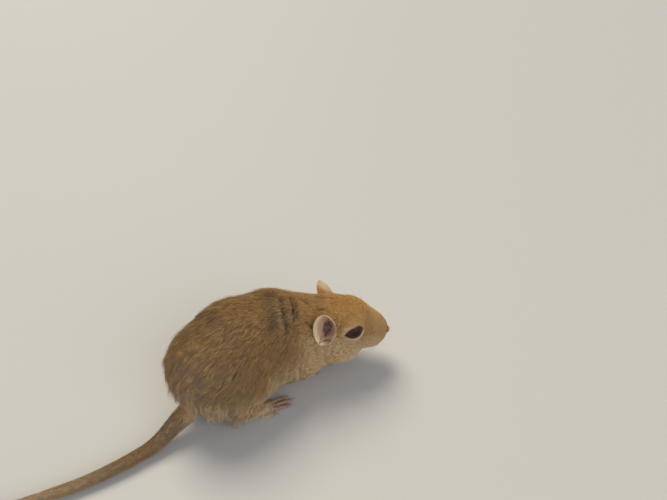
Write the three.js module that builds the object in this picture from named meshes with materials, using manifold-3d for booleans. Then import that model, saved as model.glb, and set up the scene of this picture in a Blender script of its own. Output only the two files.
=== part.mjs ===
// A Mongolian gerbil, life size, crouched on all fours, its head turned to its right and its tail laid out
// behind.
// Millimetres, +Z up, +X the way the body faces, +Y to the animal's left. The floor is z = 0.
// All outer sizes take in the coat, which lies flat.
import * as THREE from "three";
import { mergeVertices } from "three/addons/utils/BufferGeometryUtils.js";
import Module from "manifold-3d";

const wasm = await Module();
wasm.setup();

// Driving dimensions
const GAP = 0.3; // between two nodes that touch
const BODY_LENGTH = 62; // tail root to the back of the head, along the spine
const BACK_HEIGHT = 55; // floor to the top of the arched back
const HIP_HALF_WIDTH = 25;
const HEAD_LENGTH = 39; // back of the skull to the nose
const TAIL_LENGTH = 104;
const HIND_FOOT_LENGTH = 31;
const EYE_RADIUS = 3.9;
const EAR_HALF_LENGTH = 8.8;
const BELLY_CLEARANCE = 1.6;

// Materials
const COAT = { color: 0xb5834f, roughness: 0.85, metalness: 0 };
const BARE_SKIN = { color: 0xc79a8c, roughness: 0.6, metalness: 0 };
const EYE_DARK = { color: 0x2b1416, roughness: 0.08, metalness: 0 };

const V = (x, y, z) => new THREE.Vector3(x, y, z);
const SIDES = { left: 1, right: -1 };
const degrees = THREE.MathUtils.degToRad;

// The line of the back seen from above: it bows to the left and ends turned to the right.
const spine = new THREE.CatmullRomCurve3([
  V(0, -2.5, 0),
  V(BODY_LENGTH * 0.31, 2.2, 0),
  V(BODY_LENGTH * 0.6, 4.2, 0),
  V(BODY_LENGTH * 0.85, 1.8, 0),
  V(BODY_LENGTH * 1.06, -4.2, 0),
]);
const spineLength = spine.getLength();

// The place on the spine at a distance from the tail root, as a frame: x forward, y left, z up.
function station(along) {
  const share = THREE.MathUtils.clamp(along / spineLength, 0, 1);
  const forward = spine.getTangentAt(share);
  const at = spine.getPointAt(share).addScaledVector(forward, along - share * spineLength);
  const up = V(0, 0, 1);
  const left = up.clone().cross(forward);
  return new THREE.Matrix4().makeBasis(forward, left, up).setPosition(at);
}

// The head's own frame: its origin at the back of the skull, x along the muzzle.
const HEAD_AT = V(66, -3.6, 28);
const HEAD_YAW = degrees(-31);
const HEAD_PITCH = degrees(19); // nose down
const HEAD_ROLL = degrees(0);
const head = new THREE.Matrix4()
  .makeRotationFromEuler(new THREE.Euler(HEAD_ROLL, HEAD_PITCH, HEAD_YAW, "ZYX"))
  .setPosition(HEAD_AT);

// A form is a function of a point that is below zero inside and close to the distance outside.
// A lump is an ellipsoid of flesh and coat, turned about its own y and z axes where it leans.
function lump(frame, at, half, lean = 0, turn = 0) {
  const place = new THREE.Matrix4().makeRotationFromEuler(new THREE.Euler(0, lean, turn, "ZYX"));
  place.setPosition(...at).premultiply(frame);
  const inverse = place.invert();
  const q = V(0, 0, 0);
  return (p) => {
    q.copy(p).applyMatrix4(inverse);
    const scaled = Math.hypot(q.x / half[0], q.y / half[1], q.z / half[2]);
    const slope = Math.hypot(q.x / half[0] ** 2, q.y / half[1] ** 2, q.z / half[2] ** 2);
    return slope > 1e-9 ? (scaled * (scaled - 1)) / slope : -Math.min(...half);
  };
}

// Several forms run together, with softness as the width of the blend.
const melted = (softness, forms) => (p) => {
  const depths = forms.map((form) => form(p));
  const least = Math.min(...depths);
  const sum = depths.reduce((s, d) => s + Math.exp((least - d) / softness), 0);
  return least - softness * Math.log(sum);
};

// A form with another one scooped out of it.
const scooped = (softness, form, scoop) => (p) => {
  const a = form(p);
  const b = -scoop(p);
  const most = Math.max(a, b);
  return most + softness * Math.log(Math.exp((a - most) / softness) + Math.exp((b - most) / softness));
};

const both = (make) => Object.values(SIDES).map(make);

// Trunk, from the rump to the neck
const trunkForm = melted(2.2, [
  lump(station(12.5), [0, 0, 27.5], [16.8, HIP_HALF_WIDTH * 0.8, 19]),
  lump(station(29), [0, 0, BACK_HEIGHT - 26.5], [23, 22, 23]),
  lump(station(48), [0, 0, 26.5], [18, 20, 22.5]),
  lump(station(34), [0, 0, 15], [26, 19.5, 12.5]),
  lump(station(62), [0, 0.5, 25.5], [14, 16, 17]),
  lump(station(62), [0, -0.5, 13.5], [14, 17.5, 12]),
  lump(station(3.5), [0, 0, 13.5], [6, 5.6, 6.2], 0.9),
  ...both((side) => lump(station(21), [0, side * 13, 14.5], [19, HIP_HALF_WIDTH - 15.5, 12.5])),
  ...both((side) => lump(station(53), [0, side * 11, 13], [13, 7.5, 11])),
]);

// Head, in its own frame. The lids are a bulge over each eye, with a hollow before and behind it.
const EYE_AT = { x: 18, y: 8.7, z: 7.4 };
const LID_THICKNESS = 0.7;
const lidRadius = EYE_RADIUS + GAP + LID_THICKNESS;
const headForm = melted(1.3, [
  lump(head, [7.5, 0, 3.2], [14, 13.1, 13.2]),
  lump(head, [17.5, 0, 4.6], [12.8, 11.8, 13]),
  lump(head, [HEAD_LENGTH - 12.5, 0, 3.3], [12, 9.3, 9.6]),
  lump(head, [HEAD_LENGTH - 5, 0, 2.2], [5.4, 6, 6.6]),
  lump(head, [21.5, 0, -6.6], [10, 7.6, 5.8]),
  lump(head, [9, 0, -9], [16, 14, 10.5]),
  ...both((side) => lump(head, [15, side * 7.6, -7.2], [12, 7.6, 8.2])),
  ...both((side) => lump(head, [HEAD_LENGTH - 9, side * 4.6, -0.6], [6.4, 4.6, 4.2])),
]);
const eyeBulges = both((side) =>
  lump(head, [EYE_AT.x, side * EYE_AT.y, EYE_AT.z], [lidRadius + 0.5, lidRadius, lidRadius]),
);
const eyeHollows = both((side) =>
  lump(head, [EYE_AT.x + 5.6, side * (EYE_AT.y + 3.2), EYE_AT.z - 0.6], [5.5, 2.6, 3.4], 0, -side * 0.3),
);

// The whole animal's form
const bodyAndHead = melted(2, [trunkForm, headForm]);
const flesh = eyeHollows.reduce((form, hollow) => scooped(0.6, form, hollow), bodyAndHead);
const animal = melted(0.45, [flesh, ...eyeBulges]);

// The distance from a point inside a form to its surface, along a direction
const LONGEST_RAY = 60;
function reach(form, from, direction, level) {
  const step = 1.2;
  const p = V(0, 0, 0);
  const depth = (t) => form(p.copy(from).addScaledVector(direction, t)) - level;
  let low = 0;
  while (low < LONGEST_RAY && depth(low + step) < 0) low += step;
  let high = low + step;
  for (let i = 0; i < 18; i += 1) {
    const middle = (low + high) / 2;
    if (depth(middle) < 0) low = middle;
    else high = middle;
  }
  return low;
}

// A sphere geometry laid along an axis, with each of its points moved out to the form's surface.
// The first and last rows fan out from the axis's ends, and the others stand square to it.
const END_ROWS = 0.13;
function wrapped(form, axis, around, along, level = 0) {
  const geometry = new THREE.SphereGeometry(1, around, along);
  const position = geometry.attributes.position;
  for (let i = 0; i < position.count; i += 1) {
    const unit = V(position.getX(i), position.getY(i), position.getZ(i));
    const row = Math.acos(THREE.MathUtils.clamp(-unit.y, -1, 1)) / Math.PI;
    const share = THREE.MathUtils.clamp((row - END_ROWS) / (1 - 2 * END_ROWS), 0, 1);
    const forward = axis.getTangentAt(share);
    const left = V(0, 0, 1).cross(forward).normalize();
    const up = forward.clone().cross(left);
    const endTurn = row < END_ROWS ? row / END_ROWS - 1 : Math.max(0, (row - 1) / END_ROWS + 1);
    const tilt = (endTurn * Math.PI) / 2;
    const angle = Math.atan2(unit.z, unit.x);
    const direction = left
      .multiplyScalar(Math.cos(angle) * Math.cos(tilt))
      .addScaledVector(up, Math.sin(angle) * Math.cos(tilt))
      .addScaledVector(forward, Math.sin(tilt));
    const from = axis.getPointAt(share);
    const at = from.clone().addScaledVector(direction, reach(form, from, direction, level));
    position.setXYZ(i, at.x, at.y, at.z);
  }
  return geometry;
}

// A closed geometry as a solid that can be joined and cut, and back again
const MERGE_MM = 1e-4;
function solid(geometry) {
  const plain = new THREE.BufferGeometry().setAttribute("position", geometry.attributes.position.clone());
  plain.setIndex(geometry.index ? geometry.index.clone() : null);
  const merged = mergeVertices(plain, MERGE_MM);
  const corners = merged.index.array;
  const kept = [];
  for (let i = 0; i < corners.length; i += 3) {
    const [a, b, c] = corners.slice(i, i + 3);
    if (a !== b && b !== c && c !== a) kept.push(a, b, c);
  }
  const mesh = (triVerts) =>
    new wasm.Manifold(
      new wasm.Mesh({
        numProp: 3,
        vertProperties: new Float32Array(merged.attributes.position.array),
        triVerts: new Uint32Array(triVerts),
      }),
    );
  const made = mesh(kept);
  return made.volume() > 0 ? made : mesh(kept.reverse());
}

// Only the largest closed surface is kept, which drops any scrap that a cut leaves.
function largest(made) {
  const bodies = made.decompose();
  return bodies.reduce((best, body) => (body.volume() > best.volume() ? body : best));
}

const root = new THREE.Group();
const animalGroup = new THREE.Group();
root.add(animalGroup);

function addNode(name, made, finish) {
  const mesh = largest(made).getMesh();
  const geometry = new THREE.BufferGeometry();
  geometry.setAttribute("position", new THREE.BufferAttribute(new Float32Array(mesh.vertProperties), 3));
  geometry.setIndex(new THREE.BufferAttribute(new Uint32Array(mesh.triVerts), 1));
  geometry.computeVertexNormals();
  const node = new THREE.Mesh(geometry, new THREE.MeshStandardMaterial(finish));
  node.name = name;
  animalGroup.add(node);
}

// Cutters
const HUGE = 400;
function halfSpace(frame, along, ahead) {
  const box = new THREE.BoxGeometry(HUGE, HUGE, HUGE);
  box.translate(along + (ahead ? HUGE / 2 : -HUGE / 2), 0, 0);
  return solid(box.applyMatrix4(frame));
}
const belowFloor = solid(new THREE.BoxGeometry(HUGE, HUGE, HUGE).translate(0, 0, -HUGE / 2));
const belowBelly = solid(
  new THREE.BoxGeometry(HUGE, HUGE, HUGE).translate(0, 0, BELLY_CLEARANCE - HUGE / 2),
);
function ellipsoid(frame, at, half, grow = 0, around = 20, along = 12) {
  const geometry = new THREE.SphereGeometry(1, around, along);
  geometry.scale(half[0] + grow, half[1] + grow, half[2] + grow);
  geometry.translate(...at);
  return solid(geometry.applyMatrix4(frame));
}

// A limb segment or a toe: a round-ended bar that tapers from one radius to another
const Z_AXIS = V(0, 0, 1);
function bar(from, to, startRadius, endRadius, around = 8, rows = 2) {
  const length = from.distanceTo(to);
  const profile = [];
  for (let i = 0; i <= rows; i += 1) {
    const angle = (i / rows - 1) * (Math.PI / 2);
    profile.push(new THREE.Vector2(startRadius * Math.cos(angle), startRadius * Math.sin(angle)));
  }
  for (let i = 0; i <= rows; i += 1) {
    const angle = (i / rows) * (Math.PI / 2);
    profile.push(new THREE.Vector2(endRadius * Math.cos(angle), length + endRadius * Math.sin(angle)));
  }
  profile[0].x = 0;
  profile[profile.length - 1].x = 0;
  const geometry = new THREE.LatheGeometry(profile, around);
  geometry.rotateX(Math.PI / 2);
  const direction = to.clone().sub(from).normalize();
  geometry.applyQuaternion(new THREE.Quaternion().setFromUnitVectors(Z_AXIS, direction));
  geometry.translate(from.x, from.y, from.z);
  return solid(geometry);
}

// A claw: a thin cone that leans down to the floor
function claw(from, direction, length, radius) {
  const geometry = new THREE.ConeGeometry(radius, length, 5);
  geometry.translate(0, length / 2, 0);
  geometry.applyQuaternion(new THREE.Quaternion().setFromUnitVectors(V(0, 1, 0), direction));
  geometry.translate(from.x, from.y, from.z);
  return solid(geometry);
}

const join = (pieces) => pieces.reduce((all, piece) => all.add(piece));

// Hind feet: a long flat sole, and five toes, the outer two shorter and set further back
const HIND_HEELS = { left: V(10.5, 13.5, 0), right: V(12.5, -12.8, 0) };
const HIND_SPLAY = degrees(12);
const HIND_TOES = [
  { back: 6, out: 2.9, length: 6 },
  { back: 1.2, out: 1.9, length: 9.4 },
  { back: 0, out: 0, length: 10.6 },
  { back: 0.8, out: -1.9, length: 9.6 },
  { back: 5.4, out: -2.9, length: 6.2 },
];
function footFrame(heel, splay) {
  return new THREE.Matrix4().makeRotationZ(splay).setPosition(heel);
}
function hindFoot(name, grow) {
  const frame = footFrame(HIND_HEELS[name], SIDES[name] * HIND_SPLAY);
  const at = (x, y, z) => V(x, y, z).applyMatrix4(frame);
  const sole = HIND_FOOT_LENGTH - 11;
  const pieces = [
    bar(at(2, 0, 2), at(sole - 1, 0, 1.8), 2.6 + grow, 2.4 + grow, 10),
    bar(at(sole - 3, 1.4, 1.3), at(sole, 1.6, 1.2), 1.6 + grow, 1.5 + grow),
    bar(at(sole - 3, -1.4, 1.3), at(sole, -1.6, 1.2), 1.6 + grow, 1.5 + grow),
    bar(at(3, 0, 2.6), at(8, 0, 8), 2.6 + grow, 4 + grow, 10),
  ];
  HIND_TOES.forEach(({ back, out, length }) => {
    const start = at(sole - back, out * 0.8, 1.1);
    const middle = at(sole - back + length * 0.5, out * 1.15, 1.25);
    const end = at(sole - back + length, out * 1.45, 0.75);
    pieces.push(bar(start, middle, 1.15 + grow, 1.0 + grow, 6, 1));
    pieces.push(bar(middle, end, 1.0 + grow, 0.85 + grow, 6));
    const ahead = end.clone().sub(middle).setZ(-0.12 * length).normalize();
    pieces.push(claw(end, ahead, 2.6 + grow, 0.5 + grow));
  });
  return join(pieces).subtract(belowFloor);
}

// Forefeet: a slim forearm, a small palm and four short fingers
const PAWS = { left: V(60, 5.5, 0), right: V(58, -10.5, 0) };
const FINGERS = [-1.5, -0.5, 0.5, 1.5];
function foreFoot(name, grow) {
  const side = SIDES[name];
  const frame = footFrame(PAWS[name], side * degrees(4) + HEAD_YAW / 3);
  const at = (x, y, z) => V(x, y, z).applyMatrix4(frame);
  const pieces = [
    bar(at(-3, side * 0.8, 8), at(-0.6, 0, 2.2), 2.6 + grow, 1.7 + grow, 10),
    bar(at(-0.4, 0, 1.5), at(2, 0, 1.1), 1.9 + grow, 1.8 + grow, 8),
  ];
  FINGERS.forEach((spread) => {
    const start = at(2, spread * 0.85, 0.8);
    const end = at(5.4 - Math.abs(spread) * 0.5, spread * 1.35, 0.5);
    pieces.push(bar(start, end, 0.8 + grow, 0.62 + grow, 6));
    const ahead = end.clone().sub(start).setZ(-0.4).normalize();
    pieces.push(claw(end, ahead, 1.7 + grow, 0.38 + grow));
  });
  return join(pieces).subtract(belowFloor);
}

// The wrapped bodies
const trunkAxis = new THREE.CatmullRomCurve3([
  V(9, 0, 25).applyMatrix4(station(0)),
  V(0, 0, 27).applyMatrix4(station(28)),
  V(0, 0, 26).applyMatrix4(station(46)),
  V(0, 0, 25).applyMatrix4(station(60)),
  V(7, 0, -1).applyMatrix4(head),
]);
const headAxis = new THREE.CatmullRomCurve3([
  V(-4, 0, 0).applyMatrix4(head),
  V(10, 0, 0.5).applyMatrix4(head),
  V(22, 0, 0.5).applyMatrix4(head),
  V(HEAD_LENGTH - 3.6, 0, 1.8).applyMatrix4(head),
]);
const TRUNK_GRID = [28, 31];
const HEAD_GRID = [30, 31];
const trunk = solid(wrapped(animal, trunkAxis, ...TRUNK_GRID)).subtract(belowBelly);
const trunkGrown = solid(wrapped(animal, trunkAxis, ...TRUNK_GRID, GAP));
const skull = solid(wrapped(animal, headAxis, ...HEAD_GRID));
const skullGrown = solid(wrapped(animal, headAxis, ...HEAD_GRID, GAP));

// Limbs: a haunch or shoulder is parted from the trunk along an ellipsoid, and stands on its own foot.
const HAUNCH = { along: 19, out: 20.5, up: 13.5, half: [18.5, 12, 16.5] };
const SHOULDER = { along: 54, out: 14.5, up: 14, half: [9.5, 9, 13] };
const limbs = [];
const withoutLimbs = (made) => limbs.reduce((rest, { cutter }) => rest.subtract(cutter), made);
Object.entries(SIDES).forEach(([name, side]) => {
  const part = ({ along, out, up, half }, grow) =>
    ellipsoid(station(along), [0, side * out, up], half, grow);
  const addLimb = (kind, bulk, foot) => {
    limbs.push({
      name: `${kind}leg_${name}`,
      made: withoutLimbs(trunk.intersect(part(bulk, 0))).subtract(foot(GAP)),
      cutter: part(bulk, GAP),
      finish: COAT,
    });
    limbs.push({ name: `${kind}foot_${name}`, made: foot(0), cutter: foot(GAP), finish: BARE_SKIN });
  };
  addLimb("hind", HAUNCH, (grow) => hindFoot(name, grow));
  addLimb("fore", SHOULDER, (grow) => foreFoot(name, grow));
});
limbs.forEach(({ name, made, finish }) => addNode(name, made, finish));

// Trunk and neck, parted by a plane across the shoulders and one behind the ears
const SHOULDER_CUT = 53;
const NECK_CUT = 0.5;
const shoulderPlane = station(SHOULDER_CUT);
const bodyLessLimbs = withoutLimbs(trunk);
addNode("torso", bodyLessLimbs.subtract(halfSpace(shoulderPlane, GAP / -2, true)), COAT);
addNode(
  "neck",
  bodyLessLimbs
    .subtract(halfSpace(shoulderPlane, GAP / 2, false))
    .subtract(halfSpace(head, NECK_CUT - GAP / 2, true)),
  COAT,
);

// Eyes: a ball in a socket, under two lids whose rims leave an almond opening
function eyeFrame(side) {
  const turn = new THREE.Euler(0, degrees(-16), side * degrees(76), "ZYX");
  const local = new THREE.Matrix4().makeRotationFromEuler(turn);
  local.setPosition(EYE_AT.x, side * EYE_AT.y, EYE_AT.z);
  return head.clone().multiply(local);
}
function ball(frame, radius, around = 16, along = 9) {
  return solid(new THREE.SphereGeometry(radius, around, along).applyMatrix4(frame));
}
// An almond outline, run out along the eye's own x axis as a prism
const LID_OPENING = { halfLength: 3.9, halfHeight: 3 };
const LID_RIM = 1.28; // size of the rim's outer edge against the opening
const PRISM_DEPTH = 9;
function almondPrism(side, scale) {
  const a = LID_OPENING.halfLength * scale;
  const b = LID_OPENING.halfHeight * scale;
  const almond = new THREE.Shape();
  almond.moveTo(-a, -0.3);
  almond.bezierCurveTo(-a * 0.6, b, a * 0.5, b * 1.05, a, 0.1);
  almond.bezierCurveTo(a * 0.5, -b, -a * 0.55, -b * 1.05, -a, -0.3);
  const prism = new THREE.ExtrudeGeometry(almond, {
    depth: PRISM_DEPTH,
    bevelEnabled: false,
    curveSegments: 8,
  });
  const turned = new THREE.Matrix4().makeBasis(V(0, 1, 0), V(0, 0, 1), V(1, 0, 0));
  return solid(prism.applyMatrix4(turned).applyMatrix4(eyeFrame(side)));
}

let headSolid = withoutLimbs(skull.subtract(halfSpace(head, NECK_CUT + GAP / 2, false)));
Object.entries(SIDES).forEach(([name, side]) => {
  const frame = eyeFrame(side);
  addNode(`eye_${name}`, ball(frame, EYE_RADIUS), EYE_DARK);
  const rims = ball(frame, lidRadius + 0.35).intersect(almondPrism(side, LID_RIM));
  headSolid = headSolid.add(rims).subtract(ball(frame, EYE_RADIUS + GAP)).subtract(almondPrism(side, 1));
});

// A groove pressed into the head along points on its surface
function groove(from, directions, radius) {
  const points = directions.map((d) => {
    const direction = d.clone().transformDirection(head);
    const start = from.clone().applyMatrix4(head);
    return start.addScaledVector(direction, reach(animal, start, direction, 0));
  });
  const path = new THREE.CatmullRomCurve3(points);
  const section = new THREE.Shape().absarc(0, 0, radius, 0, Math.PI * 2);
  const options = { extrudePath: path, steps: points.length * 2, curveSegments: 3, bevelEnabled: false };
  return solid(new THREE.ExtrudeGeometry(section, options));
}

// The mouth runs back under the whisker pads, and a cleft joins it to the nose.
const MOUTH_HALF_ANGLE = degrees(72);
const MOUTH_POINTS = 9;
const MOUTH_GROOVE = 0.5;
const CLEFT_GROOVE = 0.4;
const mouthDirections = Array.from({ length: MOUTH_POINTS }, (_, i) => {
  const turn = ((i / (MOUTH_POINTS - 1)) * 2 - 1) * MOUTH_HALF_ANGLE;
  return V(Math.cos(turn), Math.sin(turn), -0.55 - 0.12 * Math.cos(turn)).normalize();
});
const cleftDirections = [-0.12, -0.3, -0.48, -0.62].map((drop) => V(1, 0, drop).normalize());
const MOUTH_FROM = V(HEAD_LENGTH - 8, 0, 0.6);
headSolid = headSolid
  .subtract(groove(MOUTH_FROM, mouthDirections, MOUTH_GROOVE))
  .subtract(groove(MOUTH_FROM, cleftDirections, CLEFT_GROOVE));

// Nose: a small bare pad with two nostrils, set on the tip of the muzzle
const nosePad = ellipsoid(head, [HEAD_LENGTH + 0.1, 0, 3.6], [2.2, 2.6, 1.9], 0, 12, 8);
const nostrils = both((side) =>
  ellipsoid(head, [HEAD_LENGTH + 1.8, side * 1.35, 3.3], [1.1, 0.5, 0.6], 0, 8, 6),
);
addNode("nose", nostrils.reduce((pad, hole) => pad.subtract(hole), nosePad.subtract(skullGrown)), BARE_SKIN);

// Ears: thin upright bowls, egg-shaped, that open outwards. The left one is turned forward to listen.
const EAR = { halfWidth: 5.4, depth: 3.2, wall: 1 };
const EAR_POSES = {
  left: { at: V(6, 12.3, 7.5), lean: degrees(-22), turn: degrees(-54), tipOut: degrees(24) },
  right: { at: V(3.2, -14.3, 8.6), lean: degrees(-14), turn: degrees(20), tipOut: degrees(2) },
};
const EAR_RIM_SHARE = 0.22; // outer share of the bowl's radius in which its wall rounds over
function ear(name, side) {
  const pose = EAR_POSES[name];
  const turn = new THREE.Euler(side * pose.tipOut, pose.lean, side * pose.turn, "ZYX");
  const local = new THREE.Matrix4().makeRotationFromEuler(turn).setPosition(pose.at);
  const geometry = new THREE.SphereGeometry(1, 14, 16).rotateX(Math.PI / 2);
  const position = geometry.attributes.position;
  for (let i = 0; i < position.count; i += 1) {
    const x = position.getX(i);
    const z = position.getZ(i);
    const radius = Math.min(1, Math.hypot(x, z) * 1.001);
    const bowl = -EAR.depth * (1 - radius ** 3);
    const rounding = Math.sqrt(Math.min(1, (1 - radius) / EAR_RIM_SHARE));
    const face = position.getY(i) > 0 ? 1 : -1;
    const width = EAR.halfWidth * (1 + 0.12 * z - 0.1 * z * z);
    const rimLift = 0.9 * x * x; // the front and back edges curl outwards
    position.setXYZ(
      i,
      x * width - 0.8 * z * z,
      side * (bowl + rimLift + face * rounding * (EAR.wall / 2)),
      z * EAR_HALF_LENGTH,
    );
  }
  return solid(geometry.applyMatrix4(local).applyMatrix4(head)).subtract(skullGrown);
}
Object.entries(SIDES).forEach(([name, side]) => {
  addNode(`ear_${name}`, ear(name, side), BARE_SKIN);
});
addNode("head", headSolid, COAT);

// Tail: it drops from the rump to the floor and lies along it, in three lengths.
// Its points are shares of the tail's length behind the root and to the left, with heights in millimetres.
const TAIL_COURSE = [
  [-0.08, -0.014, 21],
  [-0.03, -0.03, 14],
  [0.073, -0.032, 8],
  [0.173, -0.05, 3.9],
  [0.308, -0.052, 3.2],
  [0.442, -0.038, 2.8],
  [0.577, -0.006, 2.6],
  [0.712, 0.044, 2.4],
  [0.827, 0.102, 2.2],
  [0.913, 0.16, 2],
];
const TAIL_RADII = [5.8, 5, 4.1, 3.4, 3.1, 2.9, 2.75, 2.6, 2.3, 1.4];
const tailPath = new THREE.CatmullRomCurve3(
  TAIL_COURSE.map(([behind, left, up]) => V(-behind * TAIL_LENGTH, left * TAIL_LENGTH, up)),
);
const tailPathLength = tailPath.getLength();
function tailRadius(share) {
  const place = THREE.MathUtils.clamp(share, 0, 1) * (TAIL_RADII.length - 1);
  const low = Math.min(Math.floor(place), TAIL_RADII.length - 2);
  return THREE.MathUtils.lerp(TAIL_RADII[low], TAIL_RADII[low + 1], place - low);
}
function tailFrame(share) {
  const forward = tailPath.getTangentAt(share);
  const left = V(0, 0, 1).cross(forward).normalize();
  const up = forward.clone().cross(left);
  return new THREE.Matrix4().makeBasis(left, forward, up).setPosition(tailPath.getPointAt(share));
}
// A length of the tail between two shares of its path
function tailLength(start, end, rows, around = 12) {
  const geometry = new THREE.CylinderGeometry(1, 1, 1, around, rows);
  const position = geometry.attributes.position;
  for (let i = 0; i < position.count; i += 1) {
    const share = THREE.MathUtils.lerp(start, end, position.getY(i) + 0.5);
    const radius = tailRadius(share);
    const at = V(position.getX(i) * radius, 0, position.getZ(i) * radius).applyMatrix4(tailFrame(share));
    position.setXYZ(i, at.x, at.y, at.z);
  }
  return solid(geometry);
}

// The brush at the tail's end: flat tapered locks in rings, each rooted well inside and swept to the tip
const BRUSH_RINGS = [0.75, 0.82, 0.89, 0.95];
const LOCKS_PER_RING = 5;
const LOCK = { length: 13, width: 1.8, thickness: 0.8 };
function lock(share, turn) {
  const geometry = new THREE.ConeGeometry(1, 1, 4, 3);
  const radius = tailRadius(share);
  const swing = V(Math.cos(turn), 0, Math.sin(turn));
  const frame = tailFrame(share);
  const position = geometry.attributes.position;
  for (let i = 0; i < position.count; i += 1) {
    const along = position.getY(i) + 0.5;
    const out = radius * 0.4 + 2.6 * along - 1.3 * along * along;
    const across = position.getX(i) * LOCK.width;
    const deep = position.getZ(i) * LOCK.thickness + out;
    const at = V(
      swing.x * deep - swing.z * across,
      along * LOCK.length,
      Math.max(swing.z * deep + swing.x * across, 0.1 - tailPath.getPointAt(share).z),
    ).applyMatrix4(frame);
    position.setXYZ(i, at.x, at.y, at.z);
  }
  return solid(geometry);
}
const brush = BRUSH_RINGS.flatMap((share, ring) =>
  Array.from({ length: LOCKS_PER_RING }, (_, i) => {
    const turn = ((i + ring / 2) / LOCKS_PER_RING) * 2 * Math.PI;
    return lock(share, turn);
  }),
);

const TAIL_PARTS = [
  { name: "tail_base", start: 0, end: 0.33, rows: 13 },
  { name: "tail_middle", start: 0.33, end: 0.66, rows: 11 },
  { name: "tail_tip", start: 0.66, end: 1, rows: 10 },
];
const gapShare = GAP / 2 / tailPathLength;
TAIL_PARTS.forEach(({ name, start, end, rows }, i) => {
  const isBase = i === 0;
  const isTip = i === TAIL_PARTS.length - 1;
  const length = tailLength(isBase ? start : start + gapShare, isTip ? end : end - gapShare, rows);
  let made = isTip ? length.add(join(brush)) : length;
  if (isBase) made = withoutLimbs(made.subtract(trunkGrown));
  addNode(name, made.subtract(belowFloor), COAT);
});

// The origin is the middle of the whole animal's footprint.
const box = new THREE.Box3().setFromObject(animalGroup);
const middle = box.getCenter(V(0, 0, 0));
animalGroup.position.set(-middle.x, -middle.y, -box.min.z);

export default root;
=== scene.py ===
# %% [markdown]
# # A gerbil, dressed over its solid frame
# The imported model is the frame: closed solids of the body, head, legs, feet, ears, eyes and tail at life
# size, in metres. It already has the true outline, out to the tips of the fur. What follows makes the one
# skin under the coat, the coat itself hair by hair in solid mesh, and the bare parts: eyes, lids, ears,
# nose, mouth, feet, claws and whiskers. The animal is still, so every piece rides on the one body, root.

# %% Load the frame
import math

import bmesh
import bpy
import numpy as np
from mathutils import Matrix, Vector
from mathutils.bvhtree import BVHTree
from mathutils.kdtree import KDTree


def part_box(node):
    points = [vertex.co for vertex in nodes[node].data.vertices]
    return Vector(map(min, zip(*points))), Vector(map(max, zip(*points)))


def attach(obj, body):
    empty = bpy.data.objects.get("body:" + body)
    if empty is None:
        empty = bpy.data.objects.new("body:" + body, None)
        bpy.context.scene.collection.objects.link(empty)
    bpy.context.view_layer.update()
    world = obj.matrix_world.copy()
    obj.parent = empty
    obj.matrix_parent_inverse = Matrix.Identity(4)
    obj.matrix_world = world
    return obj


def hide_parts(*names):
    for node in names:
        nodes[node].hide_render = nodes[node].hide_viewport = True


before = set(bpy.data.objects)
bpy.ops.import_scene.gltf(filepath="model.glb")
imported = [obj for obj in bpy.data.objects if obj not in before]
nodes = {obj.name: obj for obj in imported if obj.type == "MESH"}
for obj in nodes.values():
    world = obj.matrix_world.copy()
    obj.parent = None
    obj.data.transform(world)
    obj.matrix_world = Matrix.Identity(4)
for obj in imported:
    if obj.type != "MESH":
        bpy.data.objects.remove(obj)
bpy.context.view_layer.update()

MM = 0.001
print("frame:", len(nodes), "solids")


# %% [markdown]
# A few small helpers serve every material. Colours are written as the sRGB hex values that a picture
# shows, and one function turns them into the linear numbers that the renderer adds up. Another adds a
# node with its settings and links, so that a material reads as a short list of steps.

# %% Helpers for materials
def linear(hex_colour):
    """An sRGB hex colour as linear red, green, blue and alpha."""
    srgb = [int(hex_colour[i : i + 2], 16) / 255 for i in (1, 3, 5)]
    return [c / 12.92 if c <= 0.04045 else ((c + 0.055) / 1.055) ** 2.4 for c in srgb] + [1.0]


def set_inputs(node, inputs):
    """Sets a node's inputs to values, or links them to other nodes' outputs."""
    for name, value in inputs.items():
        if isinstance(value, bpy.types.NodeSocket):
            node.id_data.links.new(value, node.inputs[name])
        else:
            node.inputs[name].default_value = value


def add(tree, kind, settings, inputs, output=0):
    """Adds a node with its settings and inputs, and gives back the output that is asked for."""
    node = tree.nodes.new(kind)
    for name, value in settings.items():
        setattr(node, name, value)
    set_inputs(node, inputs)
    return node.outputs[output]


def new_material(name):
    """A material, its node tree, and its Principled shader."""
    material = bpy.data.materials.new(name)
    material.use_nodes = True
    tree = material.node_tree
    return material, tree, tree.nodes["Principled BSDF"]


# A Mix node has a set of sockets for each kind of value, and these numbers are those for colours
COLOURS = {"data_type": "RGBA"}
SHARE, FIRST, SECOND, MIXED = 0, 6, 7, 2
GRAIN = 0.5  # noise of a scale of 1 has grains about this large, in metres


# %% [markdown]
# Pieces and places. The solids' boxes and points give every landmark: the middle between the eyes, the
# tip of the nose, the roots of the ears. Points are kept in arrays of numbers, because the coat has tens
# of thousands of tufts and each of them asks where it is on the body.

# %% Landmarks on the solids
def points_of(node):
    """The points of a solid's mesh, one row each."""
    flat = np.empty(len(nodes[node].data.vertices) * 3)
    nodes[node].data.vertices.foreach_get("co", flat)
    return flat.reshape(-1, 3)


def middle(node):
    low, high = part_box(node)
    return (np.array(low) + np.array(high)) / 2


def unit(vectors):
    return vectors / np.maximum(np.linalg.norm(vectors, axis=-1, keepdims=True), 1e-12)


def blend_in(values, start, end):
    """0 at start, 1 at end, and smooth between them. Start may be the larger."""
    share = np.clip((values - start) / (end - start), 0, 1)
    return share * share * (3 - 2 * share)


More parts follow.
